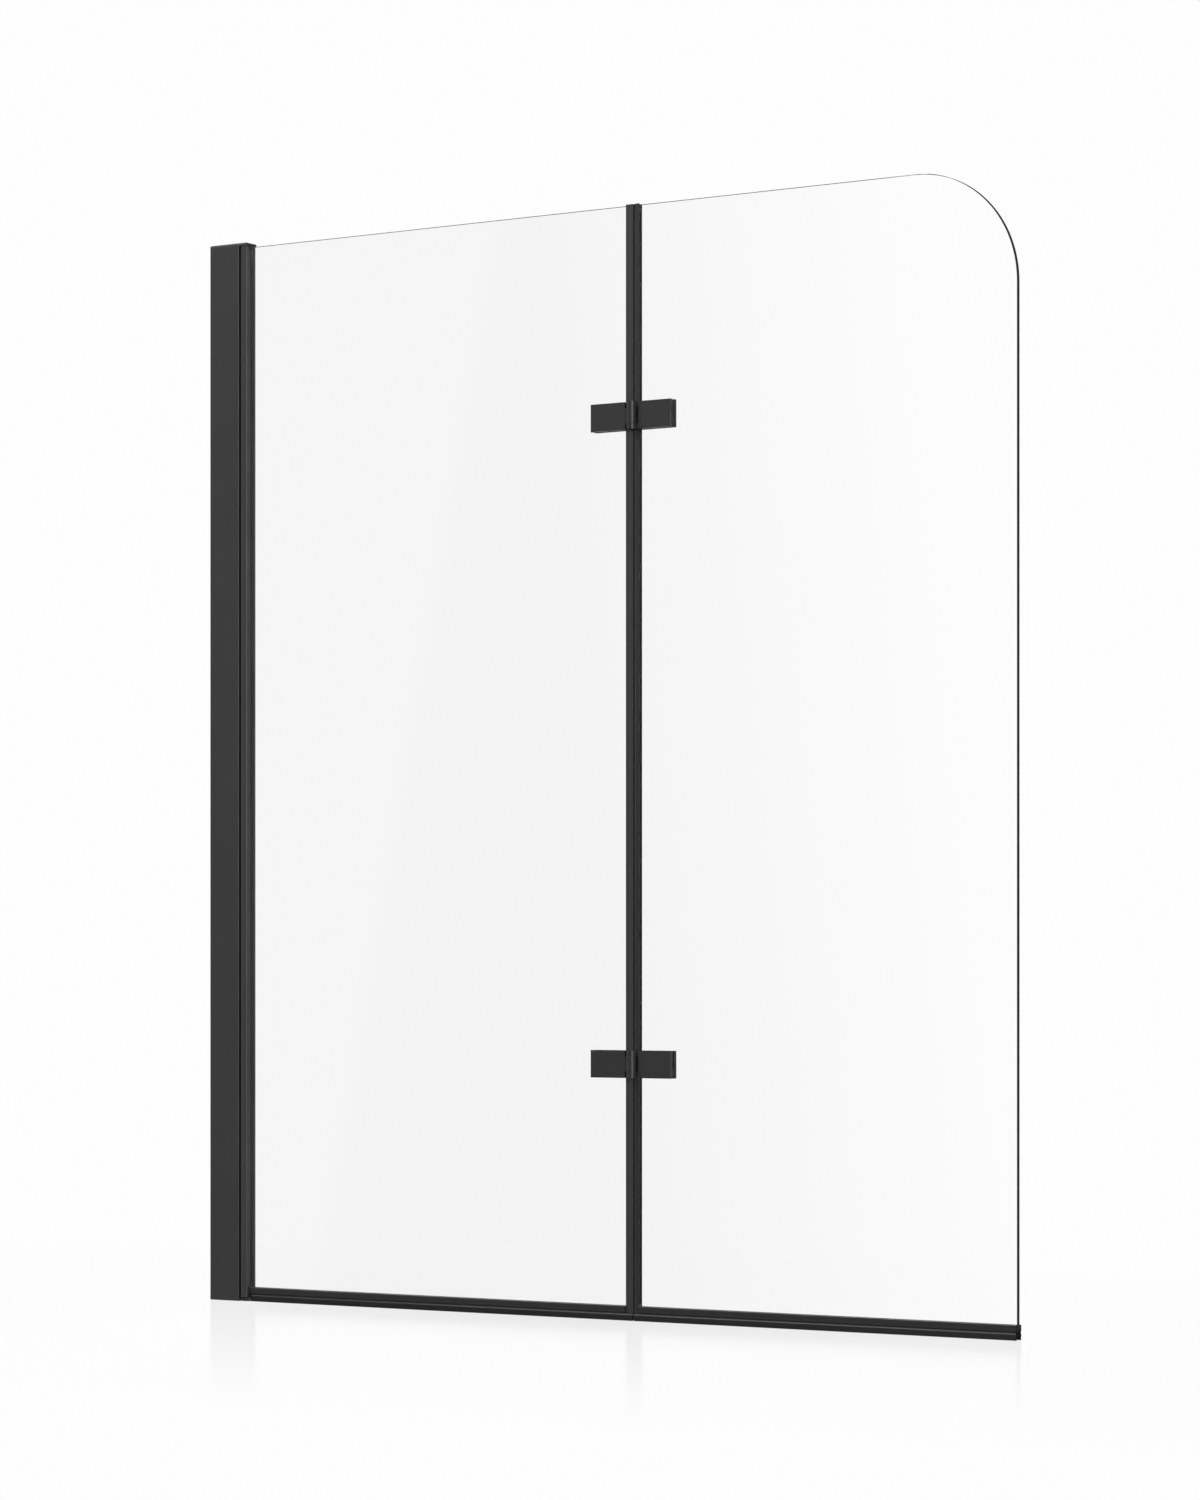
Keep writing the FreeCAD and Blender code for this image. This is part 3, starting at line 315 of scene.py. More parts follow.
def powder_coat(name, colour, roughness):
    """Baked polyester powder on aluminium: a matt skin of fine pebbles that spreads highlights."""
    spread = 0.05
    material, tree, shader = new_finish(name)
    place = add_node(tree, "ShaderNodeTexCoord").outputs["Object"]
    # The real coat's pebbles are 0.2 to 0.4 mm wide. They are drawn at 1.2 mm so that they show.
    pebbles = add_node(
        tree, "ShaderNodeTexNoise", {"Vector": place, "Scale": 1 / 0.0012, "Detail": 2.0}
    )
    # Each spraying pass leaves clouds of about 80 mm.
    clouds = add_node(
        tree, "ShaderNodeTexNoise", {"Vector": place, "Scale": 1 / 0.08, "Detail": 3.0}
    )
    tone = add_node(
        tree,
        "ShaderNodeMix",
        {
            "Factor_Float": clouds.outputs["Fac"],
            "A_Color": shade(colour, 0.88),
            "B_Color": shade(colour, 1.12),
        },
        data_type="RGBA",
    )
    gloss = add_node(
        tree,
        "ShaderNodeMapRange",
        {
            "Value": pebbles.outputs["Fac"],
            "From Min": NOISE_LOW,
            "From Max": NOISE_HIGH,
            "To Min": roughness - spread,
            "To Max": roughness + spread,
        },
    )
    bump = add_node(
        tree,
        "ShaderNodeBump",
        {"Strength": 0.35, "Distance": 0.0001, "Height": pebbles.outputs["Fac"]},
    )
    connect(
        tree,
        shader,
        {
            "Base Color": tone.outputs[2],
            "Roughness": gloss.outputs["Result"],
            "Normal": bump.outputs["Normal"],
        },
    )
    return material


def moulded_nylon(colours):
    """Glass-filled nylon from a spark-eroded mould: even, dull, with a fine leathery grain."""
    material, tree, shader = new_finish("moulded_black_nylon")
    place = add_node(tree, "ShaderNodeTexCoord").outputs["Object"]
    # The mould's grain is about 0.15 mm. It is drawn at 0.7 mm so that it shows.
    grain = add_node(
        tree,
        "ShaderNodeTexVoronoi",
        {"Vector": place, "Scale": 1 / 0.0007, "Randomness": 1.0},
        feature="SMOOTH_F1",
    )
    # The flow of the melt leaves clouds of about 30 mm.
    clouds = add_node(
        tree, "ShaderNodeTexNoise", {"Vector": place, "Scale": 1 / 0.03, "Detail": 2.0}
    )
    tone = add_node(
        tree,
        "ShaderNodeMix",
        {
            "Factor_Float": clouds.outputs["Fac"],
            "A_Color": shade(colours.moulding, 0.9),
            "B_Color": shade(colours.moulding, 1.1),
        },
        data_type="RGBA",
    )
    bump = add_node(
        tree,
        "ShaderNodeBump",
        {"Strength": 0.3, "Distance": 0.00008, "Height": grain.outputs["Distance"]},
    )
    connect(
        tree,
        shader,
        {"Base Color": tone.outputs[2], "Roughness": 0.52, "Normal": bump.outputs["Normal"]},
    )
    return material


def drawn_strip(name, colour, roughness, line_size):
    """A black strip, pressed through a die: faint lines along it, which its gloss follows."""
    spread = 0.06
    material, tree, shader = new_finish(name)
    place = add_node(tree, "ShaderNodeTexCoord").outputs["Object"]
    stretched = add_node(
        tree,
        "ShaderNodeMapping",
        {"Vector": place, "Scale": [1 / size for size in line_size]},
    )
    lines = add_node(
        tree,
        "ShaderNodeTexNoise",
        {"Vector": stretched.outputs["Vector"], "Scale": 1.0, "Detail": 3.0, "Roughness": 0.6},
    )
    tone = add_node(
        tree,
        "ShaderNodeMix",
        {
            "Factor_Float": lines.outputs["Fac"],
            "A_Color": shade(colour, 0.75),
            "B_Color": shade(colour, 1.25),
        },
        data_type="RGBA",
    )
    gloss = add_node(
        tree,
        "ShaderNodeMapRange",
        {
            "Value": lines.outputs["Fac"],
            "From Min": NOISE_LOW,
            "From Max": NOISE_HIGH,
            "To Min": roughness - spread,
            "To Max": roughness + spread,
        },
    )
    bump = add_node(
        tree,
        "ShaderNodeBump",
        {"Strength": 0.3, "Distance": 0.0001, "Height": lines.outputs["Fac"]},
    )
    connect(
        tree,
        shader,
        {
            "Base Color": tone.outputs[2],
            "Roughness": gloss.outputs["Result"],
            "Normal": bump.outputs["Normal"],
        },
    )
    return material


def upright_rubber(colours):
    """Extruded EPDM of the inner seal and the gaskets: dull, with die lines 1 mm apart."""
    return drawn_strip(
        "extruded_rubber_upright",
        colours.rubber,
        roughness=0.46,
        line_size=(0.0011, 0.0011, 0.4),
    )


def shaded_seal_rubber(colours):
    """EPDM of the outer seal: the inner seal's rubber drawn in a darker black as painted shade,
    with the same lines along its height.
    """
    return drawn_strip(
        "extruded_rubber_painted_darker",
        colours.shaded_seal_rubber,
        roughness=0.46,
        line_size=(0.0011, 0.0011, 0.4),
    )


def wiper_rubber(colours):
    """Extruded silicone rubber of the wipers: deep black, half bright, with a line of light."""
    return drawn_strip(
        "extruded_wiper_rubber",
        colours.wiper_rubber,
        roughness=0.29,
        line_size=(0.4, 0.0011, 0.0011),
    )


def rail_pvc(colours):
    """Extruded PVC of the bottom rails: a satin skin with faint lines 1.5 mm apart."""
    return drawn_strip(
        "extruded_pvc_rail",
        colours.rail,
        roughness=0.44,
        line_size=(0.5, 0.0015, 0.0015),
    )


def clear_glass(colours):
    """Toughened float glass: colourless and bright, with the faint wave that toughening leaves."""
    material, tree, shader = new_finish("toughened_float_glass")
    place = add_node(tree, "ShaderNodeTexCoord").outputs["Object"]
    # The furnace rollers leave waves about 0.3 m apart and a few hundredths of a millimetre high.
    wave = add_node(
        tree, "ShaderNodeTexNoise", {"Vector": place, "Scale": 1 / 0.3, "Detail": 0.0}
    )
    bump = add_node(
        tree,
        "ShaderNodeBump",
        {"Strength": 0.1, "Distance": 0.00003, "Height": wave.outputs["Fac"]},
    )
    connect(
        tree,
        shader,
        {
            "Base Color": shade(colours.glass, 1.0),
            "Roughness": 0.0,
            "IOR": 1.5,
            "Transmission Weight": 1.0,
            "Normal": bump.outputs["Normal"],
        },
    )
    return material


def dark_edge_paint(colours):
    """Ground and polished edges in painted shade: a dark colour for the darkness seen looking into
    the pane along its length.
    """
    material, tree, shader = new_finish("pane_edge_painted_shade")
    place = add_node(tree, "ShaderNodeTexCoord").outputs["Object"]
    # The polishing wheels leave a haze of about 2 mm.
    haze = add_node(
        tree, "ShaderNodeTexNoise", {"Vector": place, "Scale": 1 / 0.002, "Detail": 2.0}
    )
    tone = add_node(
        tree,
        "ShaderNodeMix",
        {
            "Factor_Float": haze.outputs["Fac"],
            "A_Color": shade(colours.painted_edge_shade, 0.92),
            "B_Color": shade(colours.painted_edge_shade, 1.08),
        },
        data_type="RGBA",
    )
    gloss = add_node(
        tree,
        "ShaderNodeMapRange",
        {
            "Value": haze.outputs["Fac"],
            "From Min": NOISE_LOW,
            "From Max": NOISE_HIGH,
            "To Min": 0.08,
            "To Max": 0.2,
        },
    )
    connect(
        tree,
        shader,
        {
            "Base Color": tone.outputs[2],
            "Roughness": gloss.outputs["Result"],
            "IOR": 1.5,
        },
    )
    return material


def edge_bedding(colours):
    """Black glazing silicone on the edges inside the post: the glass can't shine there."""
    return drawn_strip(
        "glazing_silicone",
        colours.rubber,
        roughness=0.4,
        line_size=(0.004, 0.004, 0.004),
    )


def mill_aluminium(colours):
    """Aluminium as it leaves the press: bright grey with long die lines."""
    material, tree, shader = new_finish("mill_finish_aluminium")
    place = add_node(tree, "ShaderNodeTexCoord").outputs["Object"]
    # The die lines are about 0.8 mm apart and 300 mm long.
    stretched = add_node(
        tree,
        "ShaderNodeMapping",
        {"Vector": place, "Scale": (1 / 0.0008, 1 / 0.0008, 1 / 0.3)},
    )
    lines = add_node(
        tree,
        "ShaderNodeTexNoise",
        {"Vector": stretched.outputs["Vector"], "Scale": 1.0, "Detail": 4.0},
    )
    gloss = add_node(
        tree,
        "ShaderNodeMapRange",
        {
            "Value": lines.outputs["Fac"],
            "From Min": NOISE_LOW,
            "From Max": NOISE_HIGH,
            "To Min": 0.28,
            "To Max": 0.45,
        },
    )
    bump = add_node(
        tree,
        "ShaderNodeBump",
        {"Strength": 0.25, "Distance": 0.00005, "Height": lines.outputs["Fac"]},
    )
    connect(
        tree,
        shader,
        {
            "Base Color": shade(colours.aluminium, 1.0),
            "Metallic": 1.0,
            "Roughness": gloss.outputs["Result"],
            "Normal": bump.outputs["Normal"],
        },
    )
    return material


def turned_steel(colours):
    """Stainless steel from the bar, turned and tumbled: grey, half bright, with small marks."""
    material, tree, shader = new_finish("turned_stainless_steel")
    place = add_node(tree, "ShaderNodeTexCoord").outputs["Object"]
    # Tumbling leaves marks of about 0.5 mm.
    marks = add_node(
        tree, "ShaderNodeTexNoise", {"Vector": place, "Scale": 1 / 0.0005, "Detail": 3.0}
    )
    gloss = add_node(
        tree,
        "ShaderNodeMapRange",
        {
            "Value": marks.outputs["Fac"],
            "From Min": NOISE_LOW,
            "From Max": NOISE_HIGH,
            "To Min": 0.22,
            "To Max": 0.38,
        },
    )
    connect(
        tree,
        shader,
        {
            "Base Color": shade(colours.steel, 1.0),
            "Metallic": 1.0,
            "Roughness": gloss.outputs["Result"],
        },
    )
    return material


def natural_nylon(colours):
    """Uncoloured nylon 6: milky, waxy and slightly mottled."""
    material, tree, shader = new_finish("natural_nylon")
    place = add_node(tree, "ShaderNodeTexCoord").outputs["Object"]
    # The mottle of the milky skin is about 4 mm wide.
    mottle = add_node(
        tree, "ShaderNodeTexNoise", {"Vector": place, "Scale": 1 / 0.004, "Detail": 2.0}
    )
    tone = add_node(
        tree,
        "ShaderNodeMix",
        {
            "Factor_Float": mottle.outputs["Fac"],
            "A_Color": shade(colours.nylon, 0.94),
            "B_Color": shade(colours.nylon, 1.0),
        },
        data_type="RGBA",
    )
    connect(
        tree,
        shader,
        {"Base Color": tone.outputs[2], "Roughness": 0.42, "Subsurface Weight": 0.15},
    )
    return material


def move_new(bm, result, step):
    """Moves the vertices that an extrusion has made."""
    fresh = [item for item in result["geom"] if isinstance(item, bmesh.types.BMVert)]
    bmesh.ops.translate(bm, verts=fresh, vec=step)


def draw_strip(bm, outline, run):
    """Pulls a closed outline along a run into one length of strip."""
    face = bm.faces.new([bm.verts.new(point) for point in outline])
    move_new(bm, bmesh.ops.extrude_face_region(bm, geom=[face]), run)


def round_along(bm, axis, places, offset, segments):
    """Rounds the edges that run along an axis through the given places on the other two axes."""
    first, second = [index for index in range(3) if index != axis]

    def stands_at(vert, place):
        aside = abs(vert.co[first] - place[0])
        above = abs(vert.co[second] - place[1])
        return max(aside, above) < SAME_PLACE

    chosen = [
        edge
        for edge in bm.edges
        if any(all(stands_at(vert, place) for vert in edge.verts) for place in places)
    ]
    if not chosen:
        raise RuntimeError(f"no edge to round along axis {axis} at {places}")
    bmesh.ops.bevel(
        bm,
        geom=chosen,
        offset=offset,
        offset_type="OFFSET",
        affect="EDGES",
        segments=segments,
        profile=0.5,
        material=-1,
    )


def finished_piece(bm, name, body, node, materials):
    """Makes a named piece of a mesh that stands for a node and rides on that node's body."""
    bmesh.ops.recalc_face_normals(bm, faces=bm.faces[:])
    for face in bm.faces:
        face.smooth = True
    mesh = bpy.data.meshes.new(name)
    bm.to_mesh(mesh)
    bm.free()
    mesh.set_sharp_from_angle(angle=CRISP_ANGLE)
    for material in materials:
        mesh.materials.append(material)
    piece = bpy.data.objects.new(name, mesh)
    bpy.context.scene.collection.objects.link(piece)
    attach(piece, body)
    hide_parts(node)
    return piece


def clamp_holes(side):
    """Middles of the holes in a pane, as X and Z, and the radius of the sleeves in them."""
    places = []
    for row in ROWS:
        low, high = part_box(f"{row}_{side}_sleeves")
        radius = (high.z - low.z) / 2
        level = (high.z + low.z) / 2
        places += [(low.x + radius, level), (high.x - radius, level)]
    return places, radius


def inner_corners(sizes):
    """Outline of the inner pane, with a notch for each pivot block."""
    low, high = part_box("inner_glass")
    beside, above = sizes.block_clearance
    block_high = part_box("bottom_pivot_block")[1]
    notch = block_high.x + beside
    notch_low = block_high.z + above
    notch_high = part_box("top_pivot_block")[0].z - above
    return [
        (low.x, notch_high),
        (low.x, notch_low),
        (notch, notch_low),
        (notch, low.z),
        (high.x, low.z),
        (high.x, high.z),
        (notch, high.z),
        (notch, notch_high),
    ]


def outer_corners(sizes):
    """Outline of the outer pane, up to where its round corner starts."""
    low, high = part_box("outer_glass")
    return [
        (low.x, high.z),
        (low.x, low.z),
        (high.x, low.z),
        (high.x, high.z - sizes.free_corner),
    ]


def pane(side, corners, corner_radius, sizes):
    """One pane: outline, holes, thickness, arrises, and the edges that are bedded in the post."""
    low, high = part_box(f"{side}_glass")
    bm = bmesh.new()
    rim = [bm.verts.new((x, low.y, z)) for x, z in corners]
    last = rim[-1]
    for pair in zip(rim, rim[1:]):
        bm.edges.new(pair)
    if corner_radius:
        middle = (high.x - corner_radius, low.y, high.z - corner_radius)
        turned = bmesh.ops.spin(
            bm, geom=[last], cent=middle, axis=(0, 1, 0), angle=-math.pi / 2, steps=60
        )
        last = turned["geom_last"][0]
    bm.edges.new((last, rim[0]))
    places, sleeve = clamp_holes(side)
    upright = Matrix.Rotation(math.pi / 2, 4, "X")
    for x, z in places:
        bmesh.ops.create_circle(
            bm,
            radius=sleeve + sizes.hole_clearance,
            segments=32,
            matrix=Matrix.Translation((x, low.y, z)) @ upright,
        )
    bmesh.ops.triangle_fill(bm, use_beauty=True, edges=bm.edges[:])
    move_new(bm, bmesh.ops.extrude_face_region(bm, geom=bm.faces[:]), (0, high.y - low.y, 0))
    bmesh.ops.recalc_face_normals(bm, faces=bm.faces[:])
    for level, inward in ((low.y, sizes.arris), (high.y, -sizes.arris)):
        flat = [
            face
            for face in bm.faces
            if all(abs(vert.co.y - level) < SAME_PLACE for vert in face.verts)
        ]
        bmesh.ops.inset_region(
            bm, faces=flat, use_boundary=True, use_even_offset=True, thickness=sizes.arris
        )
        walls = [
            face
            for face in bm.faces
            if any(abs(vert.co.y - level) > SAME_PLACE for vert in face.verts)
        ]
        border = {
            vert
            for face in walls
            for vert in face.verts
            if abs(vert.co.y - level) < SAME_PLACE
        }
        bmesh.ops.translate(bm, verts=list(border), vec=(0, inward, 0))
    bm.normal_update()
    post_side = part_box("pivot_post")[1].x
    for face in bm.faces:
        if abs(face.normal.y) > CLEAR_SIDE:
            continue
        if all(vert.co.x < post_side for vert in face.verts):
            face.material_index = BEDDING_FINISH
        # The other edges, except those that face up, get the dark colour of painted shade.
        elif face.normal.z < CLEAR_SLOPE * abs(face.normal.x):
            face.material_index = EDGE_SHADE_FINISH
    return bm


class BATHSCREEN_OT_panes(bpy.types.Operator):
    """Builds both panes with their notches, holes, arrises and round corner"""

    bl_idname = "bathscreen.panes"
    bl_label = "Glass panes"

    def execute(self, context):
        sizes = context.scene.bath_screen_sizes
        colours = context.scene.bath_screen_colours
        glass = [clear_glass(colours), dark_edge_paint(colours), edge_bedding(colours)]
        outlines = {
            "inner": (inner_corners(sizes), 0.0),
            "outer": (outer_corners(sizes), sizes.free_corner),
        }
        for side, (corners, radius) in outlines.items():
            bm = pane(side, corners, radius, sizes)
            piece = finished_piece(
                bm, f"{side}_pane", f"{side}_panel", f"{side}_glass", glass
            )
            # Clear glass lets the lamps through, so the panes throw no shade.
            piece.visible_shadow = False
        return {"FINISHED"}


def closing_lip(sizes, face):
    """Outline of the soft lip in the inner seal's face, which closes the gap to the outer seal."""
    thick, gap = sizes.closing_lip
    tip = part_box("outer_edge_seal")[0].x - gap
    return [(face, -thick), (tip, -thick), (tip, thick), (face, thick)]


def seal_outline(edge, face, lips, half, glass_half, groove):
    """Outline of an upright seal: a block at the glass edge, two lips on the glass, two grooves."""
    turn = math.copysign(1.0, face - edge)
    middle = edge + turn * groove * 1.5
    back = [
        (face, half),
        (middle + turn * groove, half),
        (middle, half - groove),
        (middle - turn * groove, half),
        (lips, half),
        (lips, glass_half),
        (edge + turn * GLASS_GAP, glass_half),
    ]
    front = [(x, -y) for x, y in reversed(back)]
    return back + front


class BATHSCREEN_OT_edge_seals(bpy.types.Operator):
    """Builds the two upright seals at the fold, cut back behind the hinges"""

    bl_idname = "bathscreen.edge_seals"
    bl_label = "Edge seals"

    def execute(self, context):
        sizes = context.scene.bath_screen_sizes
        colours = context.scene.bath_screen_colours
        rubbers = {"inner": upright_rubber(colours), "outer": shaded_seal_rubber(colours)}
        hinge_ends = []
        for row in reversed(ROWS):
            low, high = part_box(f"{row}_inner_leaf")
            hinge_ends += [low.z - sizes.lip_trim, high.z + sizes.lip_trim]
        for side in SIDES:
            low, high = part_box(f"{side}_edge_seal")
            pane_low, pane_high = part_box(f"{side}_glass")
            inner = side == "inner"
            edge, face, lips = (
                (pane_high.x, high.x, low.x) if inner else (pane_low.x, low.x, high.x)
            )
            closing = closing_lip(sizes, face) if inner else []
            outline = closing[::-1] + seal_outline(
                edge, face, lips, high.y, pane_high.y + GLASS_GAP, sizes.seal_groove
            )[::-1]
            bm = bmesh.new()
            levels = [low.z, *hinge_ends, high.z]
            for bottom, top in zip(levels[::2], levels[1::2]):
                draw_strip(bm, [(x, y, bottom) for x, y in outline], (0, 0, top - bottom))
            faces = [(face, -high.y), (face, high.y)]
            round_along(bm, UPRIGHT, faces, sizes.seal_round, segments=4)
            root = edge + math.copysign(GLASS_GAP, face - edge)
            cut_back = pane_low.y + sizes.hinge_cut
            plate_low, plate_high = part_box(f"upper_{side}_back_plate")
            if inner:
                lip_end = max(lips, plate_high.x + sizes.lip_trim)
            else:
                lip_end = min(lips, plate_low.x - sizes.lip_trim)
            # Behind a hinge, only the back of the seal runs on, up to the back plate.
            stub = [
                (root, cut_back),
                (face, cut_back),
                *closing,
                (face, high.y),
                (lip_end, high.y),
                (lip_end, pane_high.y + GLASS_GAP),
                (root, pane_high.y + GLASS_GAP),
            ]
            for bottom, top in zip(levels[1::2], levels[2::2]):
                draw_strip(bm, [(x, y, bottom) for x, y in stub], (0, 0, top - bottom))
            finished_piece(
                bm,
                f"{side}_upright_seal",
                f"{side}_panel",
                f"{side}_edge_seal",
                [rubbers[side]],
            )
        return {"FINISHED"}


def wiper_outline(sizes, foot, top, start):
    """Outline of a wiper: a waist under the rail, sloped shoulders, two lips and a hollow."""
    lip = sizes.wiper_lip
    back = [
        (sizes.wiper_waist, top),
        (sizes.wiper_waist, top - lip / 8),
        (foot, sizes.wiper_shoulder),
        (foot - lip / 3, 0.0),
        (foot - lip, 0.0),
    ]
    front = [(-y, z) for y, z in reversed(back)]
    return [(start, y, z) for y, z in back + [(0.0, sizes.wiper_shoulder - lip / 2)] + front]


class BATHSCREEN_OT_wipers(bpy.types.Operator):
    """Builds the two-lipped wipers under the rails"""

    bl_idname = "bathscreen.wipers"
    bl_label = "Wipers"

    def execute(self, context):
        sizes = context.scene.bath_screen_sizes
        rubber = wiper_rubber(context.scene.bath_screen_colours)
        for side in SIDES:
            low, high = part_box(f"{side}_wiper")
            bm = bmesh.new()
            draw_strip(bm, wiper_outline(sizes, high.y, high.z, low.x), (high.x - low.x, 0, 0))
            shoulders = [(high.y, sizes.wiper_shoulder), (low.y, sizes.wiper_shoulder)]
            round_along(bm, ALONG, shoulders, sizes.wiper_round, segments=5)
            finished_piece(
                bm,
                f"{side}_rim_wiper",
                f"{side}_panel",
                f"{side}_wiper",
                [rubber],
            )
        return {"FINISHED"}


class BATHSCREEN_OT_fittings(bpy.types.Operator):
    """Gives the frame's own pieces their finishes"""

    bl_idname = "bathscreen.fittings"
    bl_label = "Fittings"

    def execute(self, context):
        colours = context.scene.bath_screen_colours
        finish = {
            "black_aluminium": powder_coat(
                "powder_coated_aluminium", colours.powder_coat, roughness=0.33
            ),
            "plain_aluminium": mill_aluminium(colours),
            "black_plastic": moulded_nylon(colours),
            "white_nylon": natural_nylon(colours),
            "stainless_steel": turned_steel(colours),
            "black_seal": bpy.data.materials["extruded_rubber_upright"],
        }
        rails = rail_pvc(colours)
        hinges = powder_coat("powder_coated_hinge", colours.hinge_coat, roughness=0.4)
        special = {f"{side}_bottom_rail": rails for side in SIDES}
        for row in ROWS:
            for side in SIDES:
                special[f"{row}_{side}_leaf"] = hinges
                special[f"{row}_{side}_back_plate"] = hinges
        slots = {row["node"]: row["material_slot"] for row in frame["record"]["subparts"]}
        for name, node in frame["nodes"].items():
            if node.hide_render:
                continue
            node.material_slots[0].material = special.get(name) or finish[slots[name]]
        return {"FINISHED"}


def add_softbox(name, azimuth, height, share, size):
    """A lamp aimed at the screen; share is its part of the light that shows a colour as written."""
    data = bpy.data.lights.new(name, "AREA")
    data.shape = "RECTANGLE"
    data.size, data.size_y = size
    data.energy = share * (math.pi * SOFTBOX_DISTANCE) ** 2
    lamp = bpy.data.objects.new(name, data)
    turn, lift = math.radians(azimuth), math.radians(height)
    back = Vector(
        (math.sin(turn) * math.cos(lift), -math.cos(turn) * math.cos(lift), math.sin(lift))
    )
    lamp.location = Vector(SCREEN_MIDDLE) + back * SOFTBOX_DISTANCE
    lamp.rotation_euler = back.to_track_quat("Z", "Y").to_euler()
    bpy.context.scene.collection.objects.link(lamp)
    return lamp


def keep_off(lamp, item):
    """Keeps a lamp's light and its mirror image off one object."""
    spared = bpy.data.collections.new(f"{lamp.name}_spares")
    spared.objects.link(item)
    spared.collection_objects[0].light_linking.link_state = "EXCLUDE"
    lamp.light_linking.receiver_collection = spared


def studio_world():
    """White behind the screen; in mirror images, a dim room with two soft panels at the front."""
    world = bpy.data.worlds.new("studio")
    world.use_nodes = True
    tree = world.node_tree
    path = add_node(tree, "ShaderNodeLightPath")
    direction = add_node(tree, "ShaderNodeTexCoord").outputs["Generated"]
    eye = add_node(
        tree,
        "ShaderNodeMath",
        {"Value": path.outputs["Is Camera Ray"], "Value_001": path.outputs["Is Transmission Ray"]},
        operation="MAXIMUM",
    )
    mirror = add_node(
        tree,
        "ShaderNodeMath",
        {"Value": path.outputs["Is Glossy Ray"], "Value_001": path.outputs["Is Singular Ray"]},
        operation="MULTIPLY",
    )
    # A pane throws light back from its far side too, and that light leaves it as transmission.
    reflected = add_node(
        tree,
        "ShaderNodeMath",
        {"Value": path.outputs["Glossy Depth"], "Value_001": 1.0},
        operation="MINIMUM",
    )
    # A panel's edge lies in a plane through the screen: the panel begins on one side of it.
    panel_side, front_side = [
        Vector(low).cross(Vector(high)).normalized() for low, high in (PANEL_EDGE, FRONT_EDGE)
    ]
    sides = [
        add_node(
            tree,
            "ShaderNodeVectorMath",
            {"Vector": direction, "Vector_001": normal},
            operation="DOT_PRODUCT",
        )
        for normal in (panel_side, front_side, BEHIND, WALL_SIDE)
    ]
    # Each ramp: the side that it follows, where it starts and ends, its strength there.
    panel, rise, fall, ahead, backdrop, wall = [
        add_node(
            tree,
            "ShaderNodeMapRange",
            {
                "Value": sides[at].outputs["Value"],
                "From Min": low,
                "From Max": high,
                "To Min": first,
                "To Max": last,
            },
            interpolation_type="LINEAR",
        )
        for at, low, high, first, last in (
            (0, -0.004, 0.004, 0.0, 0.27),
            (1, -0.02, 0.078, 0.0, 1.0),
            (1, 0.1, 0.2, 1.0, 0.0),
            (2, -0.1, 0.1, 1.0, 0.0),
            (2, 0.2, 0.8, 0.0, 1.0),
            (3, 0.6, 0.95, DIM, 0.6),
        )
    ]
    front = add_node(
        tree,
        "ShaderNodeMath",
        {"Value": rise.outputs["Result"], "Value_001": fall.outputs["Result"]},
        operation="MULTIPLY",
    )
    white = add_node(
        tree,
        "ShaderNodeMath",
        {"Value": backdrop.outputs["Result"], "Value_001": mirror.outputs["Value"]},
        operation="MULTIPLY",
    )
    panels = add_node(
        tree,
        "ShaderNodeMath",
        {"Value": panel.outputs["Result"], "Value_001": front.outputs["Value"]},
        operation="MAXIMUM",
    )
    before = add_node(
        tree,
        "ShaderNodeMath",
        {"Value": panels.outputs["Value"], "Value_001": ahead.outputs["Result"]},
        operation="MULTIPLY",
    )
    lit = add_node(
        tree,
        "ShaderNodeMath",
        {"Value": before.outputs["Value"], "Value_001": white.outputs["Value"]},
        operation="MAXIMUM",
    )
    room = add_node(
        tree,
        "ShaderNodeMath",
        {"Value": lit.outputs["Value"], "Value_001": wall.outputs["Result"]},
        operation="MAXIMUM",
    )
    light = add_node(
        tree,
        "ShaderNodeMix",
        {"Factor_Float": eye.outputs["Value"], "A_Float": AMBIENT, "B_Float": WHITE},
    )
    strength = add_node(
        tree,
        "ShaderNodeMix",
        {
            "Factor_Float": reflected.outputs["Value"],
            "A_Float": light.outputs["Result"],
            "B_Float": room.outputs["Value"],
        },
    )
    connect(
        tree,
        tree.nodes["Background"],
        {"Color": [1.0, 1.0, 1.0, 1.0], "Strength": strength.outputs["Result"]},
    )
    return world


